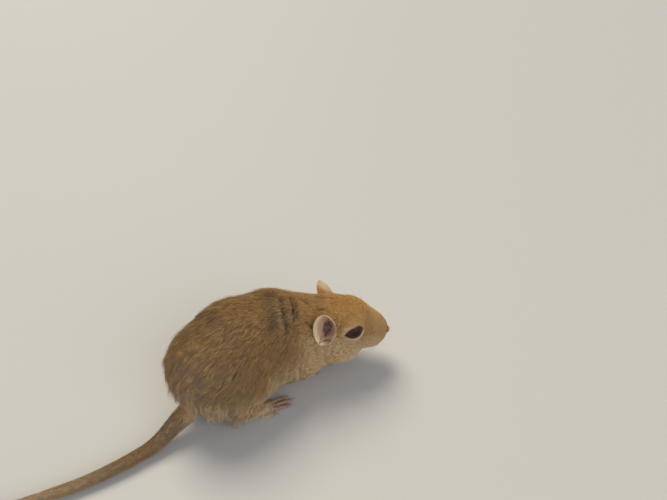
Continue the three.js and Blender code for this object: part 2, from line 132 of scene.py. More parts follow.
UP = np.array([0, 0, 1.0])
EYES = {side: middle(f"eye_{side}") for side in ("left", "right")}
EARS = {side: middle(f"ear_{side}") for side in ("left", "right")}
NOSE = middle("nose")
between_eyes = (EYES["left"] + EYES["right"]) / 2
between_ears = (EARS["left"] + EARS["right"]) / 2
MUZZLE_SLOPE = math.radians(9.7)  # from the eyes down to the nose, against the head's own line
head_left = unit(EYES["left"] - EYES["right"])
to_nose = unit(NOSE - between_eyes)
head_forward = to_nose * math.cos(MUZZLE_SLOPE) + np.cross(to_nose, head_left) * math.sin(MUZZLE_SLOPE)
head_up = np.cross(head_forward, head_left)


def on_head(forward, left, up):
    """A place in millimetres from the middle between the eyes, along the head's own axes."""
    return between_eyes + (forward * head_forward + left * head_left + up * head_up) * MM


EYE_TURN = math.radians(76)
EYE_TILT = math.radians(-16)
EYE_ROLL = math.radians(30)  # the front corner of the lids is the higher one


def eye_frame(side):
    """The eye's own axes: x looks out of the eye, y is towards the ear or the nose, z is up."""
    sign = 1 if side == "left" else -1
    head_axes = Matrix(np.column_stack([head_forward, head_left, head_up]).tolist()).to_4x4()
    turn = Matrix.Rotation(sign * EYE_TURN, 4, "Z") @ Matrix.Rotation(EYE_TILT, 4, "Y")
    turn = turn @ Matrix.Rotation(-sign * EYE_ROLL, 4, "X")
    return Matrix.Translation(Vector(EYES[side])) @ head_axes @ turn


print("nose to ears", round(np.linalg.norm(NOSE - between_ears) / MM, 1), "mm")

# %% [markdown]
# The camera stands where the photograph was taken from: to the animal's right, a little behind its
# shoulder, and about 20 cm above the floor, looking down. Its place is measured from the right eye, so it
# stays right if the model is moved. The lens follows from the view's angle, about 70 degrees across.

# %% Camera
CAMERA_FROM_EYE = Vector((-107.9, -128.0, 165.9)) * MM
CAMERA_DOWN = math.radians(35.5)
CAMERA_TURN = math.radians(-37)  # from straight across the body towards the head
LENS_MM = 25.9

camera_data = bpy.data.cameras.new("camera")
camera_data.lens = LENS_MM
camera_data.sensor_width = 36
camera_data.clip_start = 0.01
camera = bpy.data.objects.new("camera", camera_data)
camera.location = Vector(EYES["right"]) + CAMERA_FROM_EYE
camera.rotation_euler = (math.pi / 2 - CAMERA_DOWN, 0, CAMERA_TURN)
bpy.context.scene.collection.objects.link(camera)
bpy.context.scene.camera = camera
print("camera at", [round(c / MM) for c in camera.location])

# %% [markdown]
# A coat lies along the body from the nose to the tip of the tail, so the body needs a line to measure by.
# It runs from the nose through the middle of the head, neck and trunk and down the tail. The solids give
# its points: the middles of the small ones, and slices across the long ones. A running mean smooths it.

# %% The body's own line
LINE_STEP = 1 * MM
LINE_SMOOTHING = 9  # points in the running mean
HEAD_MIDDLE_DROP = 6 * MM  # the head's middle lies below the line between the eyes, and between the ears
BATCH = 20000  # points that are measured against the line at a time, to save memory


def slices(node, count):
    """The middles of a long solid's slices across X, from front to back."""
    points = points_of(node)
    edges = np.linspace(points[:, 0].max(), points[:, 0].min(), count + 1)
    inside = [points[(points[:, 0] <= a) & (points[:, 0] >= b)] for a, b in zip(edges, edges[1:])]
    return [(p.min(axis=0) + p.max(axis=0)) / 2 for p in inside if len(p)]


line = [NOSE, between_eyes - HEAD_MIDDLE_DROP * head_up, between_ears - 2 * HEAD_MIDDLE_DROP * head_up]
line += [middle("neck")] + slices("torso", 4)[1:]
line += slices("tail_base", 4) + slices("tail_middle", 4) + slices("tail_tip", 5)
line = np.array(line)
walked = np.concatenate([[0], np.cumsum(np.linalg.norm(np.diff(line, axis=0), axis=1))])
even = np.arange(0, walked[-1], LINE_STEP)
line = np.stack([np.interp(even, walked, line[:, axis]) for axis in range(3)], axis=1)
padded = np.pad(line, ((LINE_SMOOTHING // 2, LINE_SMOOTHING // 2), (0, 0)), mode="edge")
box_mean = np.ones(LINE_SMOOTHING) / LINE_SMOOTHING
line = np.stack([np.convolve(padded[:, axis], box_mean, "valid") for axis in range(3)], axis=1)
line_back = unit(np.gradient(line, axis=0))  # from nose to tail, the way the coat lies
tail_root = int(np.argmin(np.linalg.norm(line - slices("tail_base", 4)[0], axis=1)))
line_end = len(line) - 1
print("line of", line_end, "mm, with the tail from", tail_root, "mm")


def along_line(points):
    """How far each point is along the body's line, in steps from the nose."""
    nearest = np.empty(len(points), dtype=int)
    for start in range(0, len(points), BATCH):
        some = points[start : start + BATCH]
        gaps = some[:, None, :] - line[None, :, :]
        nearest[start : start + BATCH] = np.argmin((gaps * gaps).sum(axis=2), axis=1)
    return nearest


# %% [markdown]
# How deep the coat lies, how long its hairs are and how thick a tuft of them is all change along the
# line: a millimetre on the muzzle, eight on the rump, a little brush at the end of the tail. Each is a
# few named places with a size, and everything between is worked out from them.

# %% Coat sizes along the body
nape = int(np.argmin(np.linalg.norm(line - middle("neck"), axis=1)))
PLACES = {
    "nose": 0,
    "muzzle": 9,
    "eyes": 21,
    "ears": nape - 18,
    "nape": nape,
    "back": nape + 22,
    "rump": tail_root - 9,
    "root": tail_root + 6,
    "tail": tail_root + 22,
    "brush": line_end - 34,
    "tip": line_end,
}
COAT = {  # depth under the outline, length of a hair, width of a tuft, tufts to the square millimetre
    "nose": (0.25, 0.9, 0.14, 15.0),
    "muzzle": (0.45, 1.7, 0.17, 14.0),
    "eyes": (0.7, 2.4, 0.2, 12.0),
    "ears": (1.2, 3.6, 0.23, 10.0),
    "nape": (1.9, 5.4, 0.27, 7.8),
    "back": (2.3, 6.6, 0.31, 6.5),
    "rump": (2.5, 8.0, 0.34, 6.1),
    "root": (1.4, 5.2, 0.3, 7.0),
    "tail": (0.9, 3.4, 0.22, 10.0),
    "brush": (0.9, 4.8, 0.22, 11.0),
    "tip": (0.5, 9.5, 0.2, 20.0),
}


def coat_sizes(places):
    """Depth, length and width in metres, and tufts to the square millimetre, at places on the line."""
    knots = list(PLACES.values())
    rows = [np.interp(places, knots, [COAT[name][i] for name in PLACES]) for i in range(4)]
    return rows[0] * MM, rows[1] * MM, rows[2] * MM, rows[3]


print("nape at", nape, "mm, rump at", PLACES["rump"], "mm")

# %% [markdown]
# One skin stands under the whole coat, so that no seam shows between head, trunk and legs. It could be
# sculpted, but the solids already hold the form: copies of them are grown until they meet, joined, and
# wrapped by a voxel remesh. The surface is then let in by the coat's depth and remeshed again, so that
# the tips of the hairs, not the skin, reach the solids' outline.

# %% Skin
FLESH = ["torso", "neck", "head"]
FLESH += [f"{limb}_{side}" for limb in ("foreleg", "hindleg") for side in ("left", "right")]
FLESH += ["tail_base", "tail_middle"]
WELD = 0.001 * MM
BRIDGE = 0.25 * MM  # each solid grows this much, which closes the thin cuts between them
VOXEL = 0.6 * MM
TAIL_CORE_RADIUS = 3 * MM
TAIL_CORE_TAPER = 0.47  # share of its radius that the tail loses towards the tip
CORE_OVERLAP = 4  # places on the body's line that the core shares with the tail's middle solid
CORE_SHORT = 8  # places between the core's end and the brush's


def welded(node):
    """A CAD solid's mesh with its loose triangles joined at their corners."""
    bm = bmesh.new()
    bm.from_mesh(nodes[node].data)
    bmesh.ops.remove_doubles(bm, verts=bm.verts, dist=WELD)
    bm.normal_update()
    return bm


def mesh_from(bm, name):
    mesh = bpy.data.meshes.new(name)
    bm.to_mesh(mesh)
    bm.free()
    return mesh


def make_object(name, mesh):
    made = bpy.data.objects.new(name, mesh)
    bpy.context.scene.collection.objects.link(made)
    return made


def remeshed(mesh, voxel, smoothing):
    """The mesh wrapped by a voxel remesh and smoothed."""
    scratch = make_object("scratch", mesh)
    wrap = scratch.modifiers.new("wrap", "REMESH")
    wrap.mode = "VOXEL"
    wrap.voxel_size = voxel
    soften = scratch.modifiers.new("soften", "SMOOTH")
    soften.factor = 0.5
    soften.iterations = smoothing
    seen = scratch.evaluated_get(bpy.context.evaluated_depsgraph_get())
    made = bpy.data.meshes.new_from_object(seen)
    bpy.data.objects.remove(scratch)
    return made


def largest_island(bm):
    """Deletes all but the largest connected part of a bmesh."""
    unseen = set(bm.verts)
    islands = []
    while unseen:
        front = [unseen.pop()]
        island = list(front)
        while front:
            neighbours = {e.other_vert(v) for v in front for e in v.link_edges} & unseen
            unseen -= neighbours
            front = list(neighbours)
            island += front
        islands.append(island)
    islands.sort(key=len)
    spare = [v for island in islands[:-1] for v in island]
    bmesh.ops.delete(bm, geom=spare, context="VERTS")
    return len(islands)


def vertex_arrays(mesh):
    """A mesh's points and normals as arrays."""
    points = np.empty(len(mesh.vertices) * 3)
    normals = np.empty(len(mesh.vertices) * 3)
    mesh.vertices.foreach_get("co", points)
    mesh.vertex_normals.foreach_get("vector", normals)
    return points.reshape(-1, 3), normals.reshape(-1, 3)


def tail_core():
    """The end of the tail without its brush: a tapered tube along the line, with a little overlap."""
    start = int(along_line(np.array(slices("tail_middle", 5)))[-1]) - CORE_OVERLAP
    end = line_end - CORE_SHORT
    curve = bpy.data.curves.new("tail_core", "CURVE")
    curve.dimensions = "3D"
    curve.bevel_depth = TAIL_CORE_RADIUS
    curve.bevel_resolution = 3
    curve.use_fill_caps = True
    spline = curve.splines.new("POLY")
    spline.points.add(end - start)
    for i, at in enumerate(line[start : end + 1]):
        spline.points[i].co = (*at, 1)
        spline.points[i].radius = 1 - TAIL_CORE_TAPER * i / (end - start)
    scratch = make_object("tail_core", curve)
    made = bpy.data.meshes.new_from_object(scratch.evaluated_get(bpy.context.evaluated_depsgraph_get()))
    bpy.data.objects.remove(scratch)
    return made


whole = bmesh.new()
whole.from_mesh(tail_core())
for name in FLESH:
    piece = welded(name)
    for vertex in piece.verts:
        vertex.co += vertex.normal * BRIDGE
    part = mesh_from(piece, name)
    whole.from_mesh(part)
    bpy.data.meshes.remove(part)
hull_mesh = remeshed(mesh_from(whole, "hull"), VOXEL, 6)

EYE_CLEAR = 4.6 * MM  # the coat has no depth this near to the middle of an eye
EYE_FULL = 9 * MM


def near_eye(points):
    """Distance to the nearer eye's middle."""
    gaps = [np.linalg.norm(points - eye, axis=1) for eye in EYES.values()]
    return np.minimum(*gaps)


def let_in(points):
    """How far the skin lies under the solids' outline at each point."""
    depth = coat_sizes(along_line(points))[0] + BRIDGE
    return depth * blend_in(near_eye(points), EYE_CLEAR, EYE_FULL)


LID_REAR = 5.3 * MM  # from the middle of the ball to the pointed corner towards the ear
LID_FRONT = 4.2 * MM  # and to the blunt one towards the nose
LID_HALF_HEIGHT = 2.85 * MM
FRONT_POWER = 4  # how blunt that corner is: 2 would be as pointed as a lens
REAR_POWER = 2.6
LID_REACH = 9 * MM
FAR_AWAY = 99.0
SOCKET = 3.2 * MM  # behind the ball's surface, the skin of the socket stays this near to its middle


def in_axes(points, axes):
    """Points as seen in another set of axes, given as a matrix."""
    inverse = np.array(axes.inverted())
    return points @ inverse[:3, :3].T + inverse[:3, 3]


def from_lids(points):
    """How far out of the nearer eye's opening each point is: 1 on its edge, and less inside the almond."""
    least = np.full(len(points), FAR_AWAY)
    for side in EYES:
        local = in_axes(points, eye_frame(side))
        ahead = local[:, 1] * (-1 if side == "left" else 1)
        along = np.where(ahead > 0, np.abs(ahead / LID_FRONT) ** FRONT_POWER,
                         np.abs(ahead / LID_REAR) ** REAR_POWER)
        almond = np.abs(local[:, 2]) / LID_HALF_HEIGHT + along
        in_front = (local[:, 0] > 0) & (local[:, 0] < LID_REACH)
        least = np.where(in_front, np.minimum(least, almond), least)
    return least


def refined(mesh):
    """The mesh with smaller faces round the eyes, where the lids need a clean edge."""
    bm = bmesh.new()
    bm.from_mesh(mesh)
    bm.verts.index_update()
    near = near_eye(vertex_arrays(mesh)[0]) < EYE_FULL - 2 * MM
    edges = [e for e in bm.edges if near[e.verts[0].index] and near[e.verts[1].index]]
    bmesh.ops.subdivide_edges(bm, edges=edges, cuts=2, use_grid_fill=True)
    bm.to_mesh(mesh)
    bm.free()


def open_lids(points):
    """Points of the skin in front of an eye, drawn back behind the ball so that it shows."""
    for eye in EYES.values():
        opened = (from_lids(points) < 1) & (np.linalg.norm(points - eye, axis=1) < LID_REACH)
        points[opened] = eye + unit(points[opened] - eye) * SOCKET
    return points


points, normals = vertex_arrays(hull_mesh)
points -= normals * let_in(points)[:, None]
hull_mesh.vertices.foreach_set("co", points.ravel())
skin_mesh = remeshed(hull_mesh, VOXEL, 4)
refined(skin_mesh)
points = vertex_arrays(skin_mesh)[0]
closed_skin = BVHTree.FromPolygons(points.tolist(), [p.vertices for p in skin_mesh.polygons])
skin_mesh.vertices.foreach_set("co", open_lids(points).ravel())
bm = bmesh.new()
bm.from_mesh(skin_mesh)
islands = largest_island(bm)
bmesh.ops.recalc_face_normals(bm, faces=bm.faces)
skin = make_object("skin", mesh_from(bm, "skin"))
for polygon in skin.data.polygons:
    polygon.use_smooth = True
print("skin:", len(skin.data.polygons), "faces, largest of", islands, "islands")

# %% [markdown]
# An ear is a thin bowl of skin, egg-shaped, with a rolled rim, standing on the side of the head and open
# outwards. A lathe can't make it, because it isn't round, so a sphere is pressed into shape: its
# outer half and its inner half become the two faces of the bowl, and the rim is where they meet. Inside,
# a ridge runs down the back, and a fold closes the foot of the cup over the ear's opening.

# %% Ears
# Each ear's place forward, out and up from the middle between the eyes, in millimetres
EAR_FROM_EYES = {"left": (-12.0, 12.3, 0.1), "right": (-14.8, 14.3, 1.2)}
EAR_LEAN = {"left": math.radians(-22), "right": math.radians(-14)}
EAR_TURN = {"left": math.radians(-54), "right": math.radians(20)}  # the left one listens ahead
EAR_TIP_OUT = {"left": math.radians(24), "right": math.radians(2)}
EAR_HALF_WIDTH = 5.4 * MM
EAR_HALF_LENGTH = 8.8 * MM
EAR_DEPTH = 2.9 * MM
EAR_WALL = 0.55 * MM
EAR_RIM_SHARE = 0.16  # outer share of the bowl's radius in which its wall rounds over
EAR_PROUD = 0.5 * MM  # the cup stands this far out of the solid's, clear of the cheek's fur


def ear_frame(side):
    """The ear's own axes as a matrix: x forward along its width, y out of the head, z to its tip."""
    sign = 1 if side == "left" else -1
    forward, out, up = EAR_FROM_EYES[side]
    turn = Matrix.Rotation(sign * EAR_TURN[side], 4, "Z") @ Matrix.Rotation(EAR_LEAN[side], 4, "Y")
    turn = turn @ Matrix.Rotation(sign * EAR_TIP_OUT[side], 4, "X")
    head_axes = Matrix(np.column_stack([head_forward, head_left, head_up]).tolist()).to_4x4()
    at = on_head(forward, sign * out, up)
    return Matrix.Translation(Vector(at)) @ head_axes @ turn


# Lines on the inner face of an ear, of half width 1 and half length 1: middle, slant, half width
RIDGE = (-0.38, -0.3, 0.13)
FOLD = (-0.62, 0.5, 0.16)
CREASE = (-0.78, 0.28, 0.07)
RIDGE_HEIGHT = 0.55 * MM
RIDGE_FOOT = -0.75
FOLD_HEIGHT = 1.5 * MM
# The next lines place painted shade inside the cup: along the crease at its foot, and in its hollow
CREASE_SHADE, CREASE_END = 0.9, 0.93
HOLLOW_X, HOLLOW_Z, HOLLOW_SLANT = 0.1, 0.03, 0.15
HOLLOW_WIDTH, HOLLOW_LENGTH = 0.47, 0.62
HOLLOW_EDGE = 1.8  # how sharply the dark of the hollow ends
SIDE_CURL = 0.9 * MM
RIM_CURL, RIM_CURL_FROM = 0.35 * MM, 0.8
TIP_BACK = 0.8 * MM  # how far the tip bends back


def on_line(place, other, line):
    """How near a place is to a line across an ear, from 0 to 1."""
    middle_of_line, slant, half_width = line
    return math.exp(-(((place - middle_of_line - slant * other) / half_width) ** 2))


def make_ear(side):
    sign = 1 if side == "left" else -1
    bm = bmesh.new()
    bmesh.ops.create_uvsphere(bm, u_segments=56, v_segments=40, radius=1)
    marks_of_points = []
    for vertex in bm.verts:
        x, z, y = vertex.co
        radius = min(1.0, math.hypot(x, z))
        inner = y * sign > 0
        bowl = -EAR_DEPTH * (1 - radius**3)
        ridge = RIDGE_HEIGHT * on_line(x, z, RIDGE) * (1 - radius**4) * (z > RIDGE_FOOT)
        foot_fold = FOLD_HEIGHT * on_line(z, x, FOLD) * (1 - radius**6)
        rounding = math.sqrt(min(1.0, (1 - radius) / EAR_RIM_SHARE))
        width = EAR_HALF_WIDTH * (1 + 0.12 * z - 0.1 * z * z)
        curl = SIDE_CURL * x * x + RIM_CURL * max(0.0, radius - RIM_CURL_FROM) / (1 - RIM_CURL_FROM)
        out = bowl + curl + EAR_PROUD + (1 if inner else -1) * rounding * EAR_WALL / 2
        out += (ridge + foot_fold) if inner else 0.0
        vertex.co = (x * width - TIP_BACK * z * z, sign * out, z * EAR_HALF_LENGTH)
        # Share of painted shade in the cup's hollow and its crease, where the light doesn't reach
        across_hollow = (x - HOLLOW_X - HOLLOW_SLANT * z) / HOLLOW_WIDTH
        hollow = HOLLOW_EDGE * (1 - math.hypot(across_hollow, (z - HOLLOW_Z) / HOLLOW_LENGTH) ** 2)
        crease = CREASE_SHADE * on_line(z, x, CREASE) * (radius < CREASE_END)
        hollow = min(1.0, max(0.0, hollow, crease)) if inner else 0.0
        marks_of_points.append((radius, 1.0 if inner else 0.0, hollow))
    bmesh.ops.transform(bm, matrix=ear_frame(side), verts=bm.verts)
    bmesh.ops.recalc_face_normals(bm, faces=bm.faces)
    for face in bm.faces:
        face.smooth = True
    ear = make_object(f"pinna_{side}", mesh_from(bm, f"pinna_{side}"))
    set_colours(ear.data, "ear", np.array(marks_of_points))
    return ear


def set_colours(mesh, name, values):
    """Writes three numbers for each point of a mesh as an attribute that materials can read."""
    layer = mesh.attributes.new(name, "FLOAT_COLOR", "POINT")
    layer.data.foreach_set("color", np.column_stack([values, np.ones(len(values))]).ravel())


ears = [make_ear(side) for side in EARS]


EAR_REACH = 2.6 * MM  # how far from the ear's own plane the coat still gives way to it


def in_ear(points):
    """How far out from the middle of an ear each point is, where it lies in the ear's cup or behind it."""
    least = np.full(len(points), 9.0)
    for side in EARS:
        local = in_axes(points, ear_frame(side))
        out = local[:, 1] * (1 if side == "left" else -1)
        ring = np.hypot(local[:, 0] / EAR_HALF_WIDTH, local[:, 2] / EAR_HALF_LENGTH)
        bowl = EAR_PROUD - EAR_DEPTH * (1 - np.minimum(ring, 1) ** 3)
        clear = (out < -EAR_REACH) | (out > bowl + EAR_WALL)
        least = np.where(clear, least, np.minimum(least, ring))
    return least


print("ears:", [len(ear.data.polygons) for ear in ears], "faces each")

# %% [markdown]
# A gerbil stands on long hind feet with five slim toes, and on small hands with four fingers. Their bones
# and pads are too fine for the solids' few faces, so copies are wrapped by a fine voxel remesh that melts
# the bars into one soft form. The solids' claws are drawn in to thin cores, because claws of horn go over
# them later.

# %% Feet
FOOT_VOXEL = 0.24 * MM
FEET = [f"{limb}foot_{side}" for limb in ("fore", "hind") for side in ("left", "right")]
SOLE_HEIGHT = 2.5 * MM
TOE_PLACES = {"hind": (-4.9, -2.9, 0.2, 3.2, 4.9), "fore": (-2.5, -0.8, 0.8, 2.5)}  # mm across the foot
TOE_WINDOW = 0.3 * MM
TOE_FAN = {"hind": 17 * MM, "fore": 10 * MM}  # the toes point away from a place this far behind their tips
CLAW_LENGTH = {"hind": 2.9 * MM, "fore": 1.9 * MM}
CLAW_RADIUS = {"hind": 0.5 * MM, "fore": 0.38 * MM}
CLAW_CORE = 0.4  # what is left of the girth of a solid's claw
CORE_HEIGHT = 0.25 * MM  # of that core's middle line at the claw's tip
CORE_SLOPE = 0.2  # how steeply it falls to there
CORE_LENGTH = 0.8  # share of a claw's length that is drawn in
CORE_REACH = 2.2  # and how far out, against the claw's radius


def foot_axis(foot):
    """The middle of a foot's sole, the way it points, and how far its points reach along that way."""
    points = points_of(foot)
    low = points[points[:, 2] < SOLE_HEIGHT]
    centre = low.mean(axis=0)
    longest = np.linalg.svd(low[:, :2] - centre[:2], full_matrices=False)[2][0]
    way = np.array([*(longest * np.sign(longest[0])), 0])
    reach = (low - centre) @ way
    return centre, way, reach.min(), reach.max()


def toe_tips(foot):
    """The tip of each toe's claw and the way that the toe points."""
    limb = foot[:4]
    centre, forward, *_ = foot_axis(foot)
    across = np.cross(UP, forward)
    points = points_of(foot)
    points = points[points[:, 2] < SOLE_HEIGHT]
    ahead, sideways = (points - centre) @ forward, (points - centre) @ across
    tips = []
    for place in TOE_PLACES[limb]:
        in_line = np.abs(sideways - place * MM) < TOE_WINDOW
        tip = points[np.argmax(np.where(in_line, ahead, -1))]
        tips.append((tip, unit(forward + across * place * MM / TOE_FAN[limb])))
    return tips


def claws_drawn_in(mesh, foot):
    """Moves the points of a foot's claws towards the middle line of each claw."""
    points = vertex_arrays(mesh)[0]
    length = CLAW_LENGTH[foot[:4]]
    for tip, way in toe_tips(foot):
        along = (points - tip) @ way
        middle_line = tip + along[:, None] * way + UP * (CORE_HEIGHT - CORE_SLOPE * along)[:, None]
        gap = np.linalg.norm(points - middle_line, axis=1)
        drawn = (along > -CORE_LENGTH * length) & (gap < CORE_REACH * CLAW_RADIUS[foot[:4]])
        points[drawn] = middle_line[drawn] + (points[drawn] - middle_line[drawn]) * CLAW_CORE
    mesh.vertices.foreach_set("co", points.ravel())


FOOT_AXES = [foot_axis(name) for name in FEET]
feet = []
for name in FEET:
    mesh = remeshed(mesh_from(welded(name), name), FOOT_VOXEL, 5)
    claws_drawn_in(mesh, name)
    for polygon in mesh.polygons:
        polygon.use_smooth = True
    feet.append(make_object(f"sole_{name}", mesh))
    print(feet[-1].name, len(mesh.polygons), "faces")

# %% [markdown]
# The lie of the coat is what makes fur look like fur. Hair grows away from the nose and follows the body's
# line back to the tail. On the flanks it also leans down, on the legs it turns down to the feet, and it
# parts round each eye and ear. A groomer would see the same sweep, so it is written here as one
# formula that gives a direction for any place on the skin.

# %% Lie of the coat
FLANK_DROP = 0.55  # share of downward lean where the skin faces sideways
LEG_TOP = 17 * MM  # below this height the hair on the legs turns down
LEG_LOW = 5 * MM
PARTING_REACH = 5 * MM  # how far from the lids and the ears the coat still bends round them
ear_trees = [
    BVHTree.FromPolygons([v.co for v in ear.data.vertices], [p.vertices for p in ear.data.polygons])
    for ear in ears
]
leg_middles = [middle(f"{limb}_{side}") for limb in ("foreleg", "hindleg") for side in ("left", "right")]
leg_middles = np.array(leg_middles)


def laid_flat(vectors, normals):
    """The part of each vector that lies in the surface, at length 1."""
    return unit(vectors - normals * (vectors * normals).sum(axis=1, keepdims=True))


def lie_of(points, normals, places):
    """The direction in which the hair lies at each point of the skin."""
    back = line_back[places]
    left = unit(np.cross(UP, -back))
    sideways = np.abs((normals * left).sum(axis=1))
    on_body = blend_in(places, PLACES["eyes"], nape) * blend_in(places, tail_root + 8, tail_root)
    lie = back - UP * (FLANK_DROP * sideways * on_body)[:, None]
    leg_gap = np.min([np.linalg.norm((points - m)[:, :2], axis=1) for m in leg_middles], axis=0)
    on_leg = blend_in(points[:, 2], LEG_TOP, LEG_LOW) * blend_in(leg_gap, 22 * MM, 10 * MM) * on_body
    lie = lie * (1 - 0.7 * on_leg)[:, None] - UP * (1.1 * on_leg)[:, None]
    for eye in EYES.values():
        out = points - eye
        gap = np.linalg.norm(out, axis=1)
        bend = 1.4 * blend_in(gap, EYE_CLEAR + PARTING_REACH, EYE_CLEAR)
        lie = lie + unit(laid_flat(out, normals)) * bend[:, None]
    return laid_flat(lie, normals)


# %% [markdown]
# Roots are spread over the skin by chance, but evenly: each triangle of the skin gets its share by its area
# and by how dense the coat is there. The draw is seeded, so every run grows the same coat.

# %% Roots of the tufts
SEED = 20
COAT_SHARE = 1.0
rng = np.random.default_rng(SEED)


def triangles_of(mesh):
    """The three points of each triangle, in sorted rows, as some faces come in another order each run."""
    mesh.calc_loop_triangles()
    corners = np.empty(len(mesh.loop_triangles) * 3, dtype=np.int32)
    mesh.loop_triangles.foreach_get("vertices", corners)
    corners = corners.reshape(-1, 3)
    return corners[np.lexsort(corners.T)]


def along_foot(points):
    """Which foot each point is on, and how far along it, from 0 at the heel to 1 at the toes."""
    gaps = [np.linalg.norm((points - centre)[:, :2], axis=1) for centre, *_ in FOOT_AXES]
    which = np.argmin(gaps, axis=0)
    shares = [((points - centre) @ way - low) / (high - low) for centre, way, low, high in FOOT_AXES]
    return which, np.clip(np.array(shares)[which, np.arange(len(points))], 0, 1)


FOOT_COAT = {  # the same four sizes along a foot
    0.0: (0.5, 2.2, 0.24, 10.0),
    0.3: (0.6, 2.6, 0.23, 11.0),
    0.48: (0.4, 2.2, 0.18, 12.0),
    0.62: (0.2, 1.2, 0.1, 7.0),
    0.8: (0.12, 0.8, 0.08, 2.5),
    1.0: (0.1, 0.6, 0.1, 0.0),
}


EAR_COAT = (0.3, 1.3, 0.07, 7.0)  # the down on the back and the rim of an ear


def ear_rim(points, normals):
    """How near each point of an ear is to its rim, from 0 to 1, and whether it is on the ear's back."""
    on_left = (points - between_ears) @ head_left > 0
    rim, back = np.zeros(len(points)), np.zeros(len(points), dtype=bool)
    for side, some in (("left", on_left), ("right", ~on_left)):
        local = in_axes(points[some], ear_frame(side))
        out = np.array(ear_frame(side))[:3, 1] * (1 if side == "left" else -1)
        rim[some] = np.hypot(local[:, 0] / EAR_HALF_WIDTH, local[:, 2] / EAR_HALF_LENGTH)
        back[some] = normals[some] @ out < 0
    return rim, back


def sizes_at(places, points, normals, on_foot, on_ear):
    """The coat's four sizes at each place, from the foot's or the ear's own where it is on one of them."""
    units = np.array([MM, MM, MM, 1])[:, None]
    sizes = np.stack(coat_sizes(places))
    share = along_foot(points[on_foot])[1]
    rows = [np.interp(share, list(FOOT_COAT), [row[i] for row in FOOT_COAT.values()]) for i in range(4)]
    sizes[:, on_foot] = np.stack(rows) * units
    sizes[:, on_ear] = np.array(EAR_COAT)[:, None] * units
    rim, back = ear_rim(points[on_ear], normals[on_ear])
    sizes[3, on_ear] *= np.where(back, 1.0, blend_in(rim, 0.72, 0.9))
    return sizes


# The skin, the four feet and the ears as one surface, with their points one after another
surfaces = [skin] + feet + ears
surface_arrays = [vertex_arrays(piece.data) for piece in surfaces]
offsets = np.cumsum([0] + [len(points) for points, _ in surface_arrays])
skin_points = np.concatenate([points for points, _ in surface_arrays])
skin_normals = np.concatenate([normals for _, normals in surface_arrays])
corners = np.concatenate([triangles_of(piece.data) + start for piece, start in zip(surfaces, offsets)])
a, b, c = (skin_points[corners[:, i]] for i in range(3))
areas = np.linalg.norm(np.cross(b - a, c - a), axis=1) / 2 / MM**2
centres = (a + b + c) / 3
ear_corner = corners[:, 0] >= offsets[1 + len(feet)]
foot_corner = (corners[:, 0] >= offsets[1]) & ~ear_corner
centre_normals = unit(skin_normals[corners].sum(axis=1))
density = sizes_at(along_line(centres), centres, centre_normals, foot_corner, ear_corner)[3] * COAT_SHARE
wanted = areas * density
count = rng.poisson(wanted)
chosen = np.repeat(np.arange(len(corners)), count)
weights = rng.dirichlet((1, 1, 1), len(chosen))
roots = np.einsum("ij,ijk->ik", weights, skin_points[corners[chosen]])
root_normals = unit(np.einsum("ij,ijk->ik", weights, skin_normals[corners[chosen]]))
on_foot, on_ear = foot_corner[chosen], ear_corner[chosen]
print("skin area", round(areas.sum() / 100), "cm2;", len(roots), "roots")

# %% [markdown]
# Some places grow no coat: the lids and the eye itself, the pad of the nose, the cups of the ears and the
# soles. Around them the hairs shorten, as the real ones do.

# %% Bare places and short hair
LIDS_BARE = 1.15  # against 1 on the edge of the opening
SOCKET_BARE = 0.4 * MM
NOSE_PAD = 1.2 * MM
EAR_BARE = 0.5 * MM
CUP_BARE = 0.9  # share of an ear's radius
FLOOR_BARE = 0.3 * MM
SOLE_BARE = 0.8 * MM
LIDS_SHORT, LIDS_FULL = 1.1, 5
EAR_SHORT = 4.5 * MM
LOW_SHORT = 0.45  # share of their length that hairs keep where the body nearly touches the floor


def ear_gap(points):
    """Distance from each point to the nearer ear."""
    gaps = [[tree.find_nearest(p)[3] for p in points.tolist()] for tree in ear_trees]
    return np.minimum(*np.array(gaps))


places = along_line(roots)
depth, length, width, _ = sizes_at(places, roots, root_normals, on_foot, on_ear)
lid_gap = from_lids(roots)
gap_to_ear = np.full(len(roots), FAR_AWAY)
by_the_head = (places < nape + 8) & ~on_ear
gap_to_ear[by_the_head] = ear_gap(roots[by_the_head])
nose_gap = np.linalg.norm(roots - NOSE, axis=1)
kept = (lid_gap > LIDS_BARE) & (near_eye(roots) > SOCKET + SOCKET_BARE)
kept &= (nose_gap > NOSE_PAD) & (gap_to_ear > EAR_BARE)
kept &= (roots[:, 2] > FLOOR_BARE) & ((in_ear(roots) > CUP_BARE) | on_ear)
kept &= ~on_foot | ((root_normals[:, 2] > -0.2) & (roots[:, 2] > SOLE_BARE))
short = 0.25 + 0.75 * blend_in(lid_gap, LIDS_SHORT, LIDS_FULL)
short *= 0.4 + 0.6 * blend_in(gap_to_ear, 0, EAR_SHORT)
on_trunk = (places > nape) & (places < tail_root) & ~on_foot
low_down = blend_in(roots[:, 2], 9 * MM, 1 * MM) * on_trunk
short *= 1 - (1 - LOW_SHORT) * low_down
depth *= blend_in(near_eye(roots), EYE_CLEAR, EYE_FULL) * 0.8 + 0.2
depth *= 0.45 + 0.55 * blend_in(gap_to_ear, 0, EAR_SHORT)
width *= 0.6 + 0.4 * blend_in(lid_gap, 1.1, 4)
length *= short
roots, root_normals, places = roots[kept], root_normals[kept], places[kept]
on_foot, on_ear = on_foot[kept], on_ear[kept]
depth, length, width = depth[kept], length[kept], width[kept]
print(len(roots), "tufts kept")

# %% [markdown]
# Here and there the coat of the neck and flanks opens, where the animal bends or has groomed itself, and the
# slate-grey roots show as a dark stroke. Such a parting is a line on the skin. Those that the photograph
# shows are laid between two pixels of the camera's frame, and some more are scattered on the far side.

# %% Partings
FRAME_SIZE = (667, 500)
skin_tree = BVHTree.FromPolygons(skin_points.tolist(), corners.tolist())


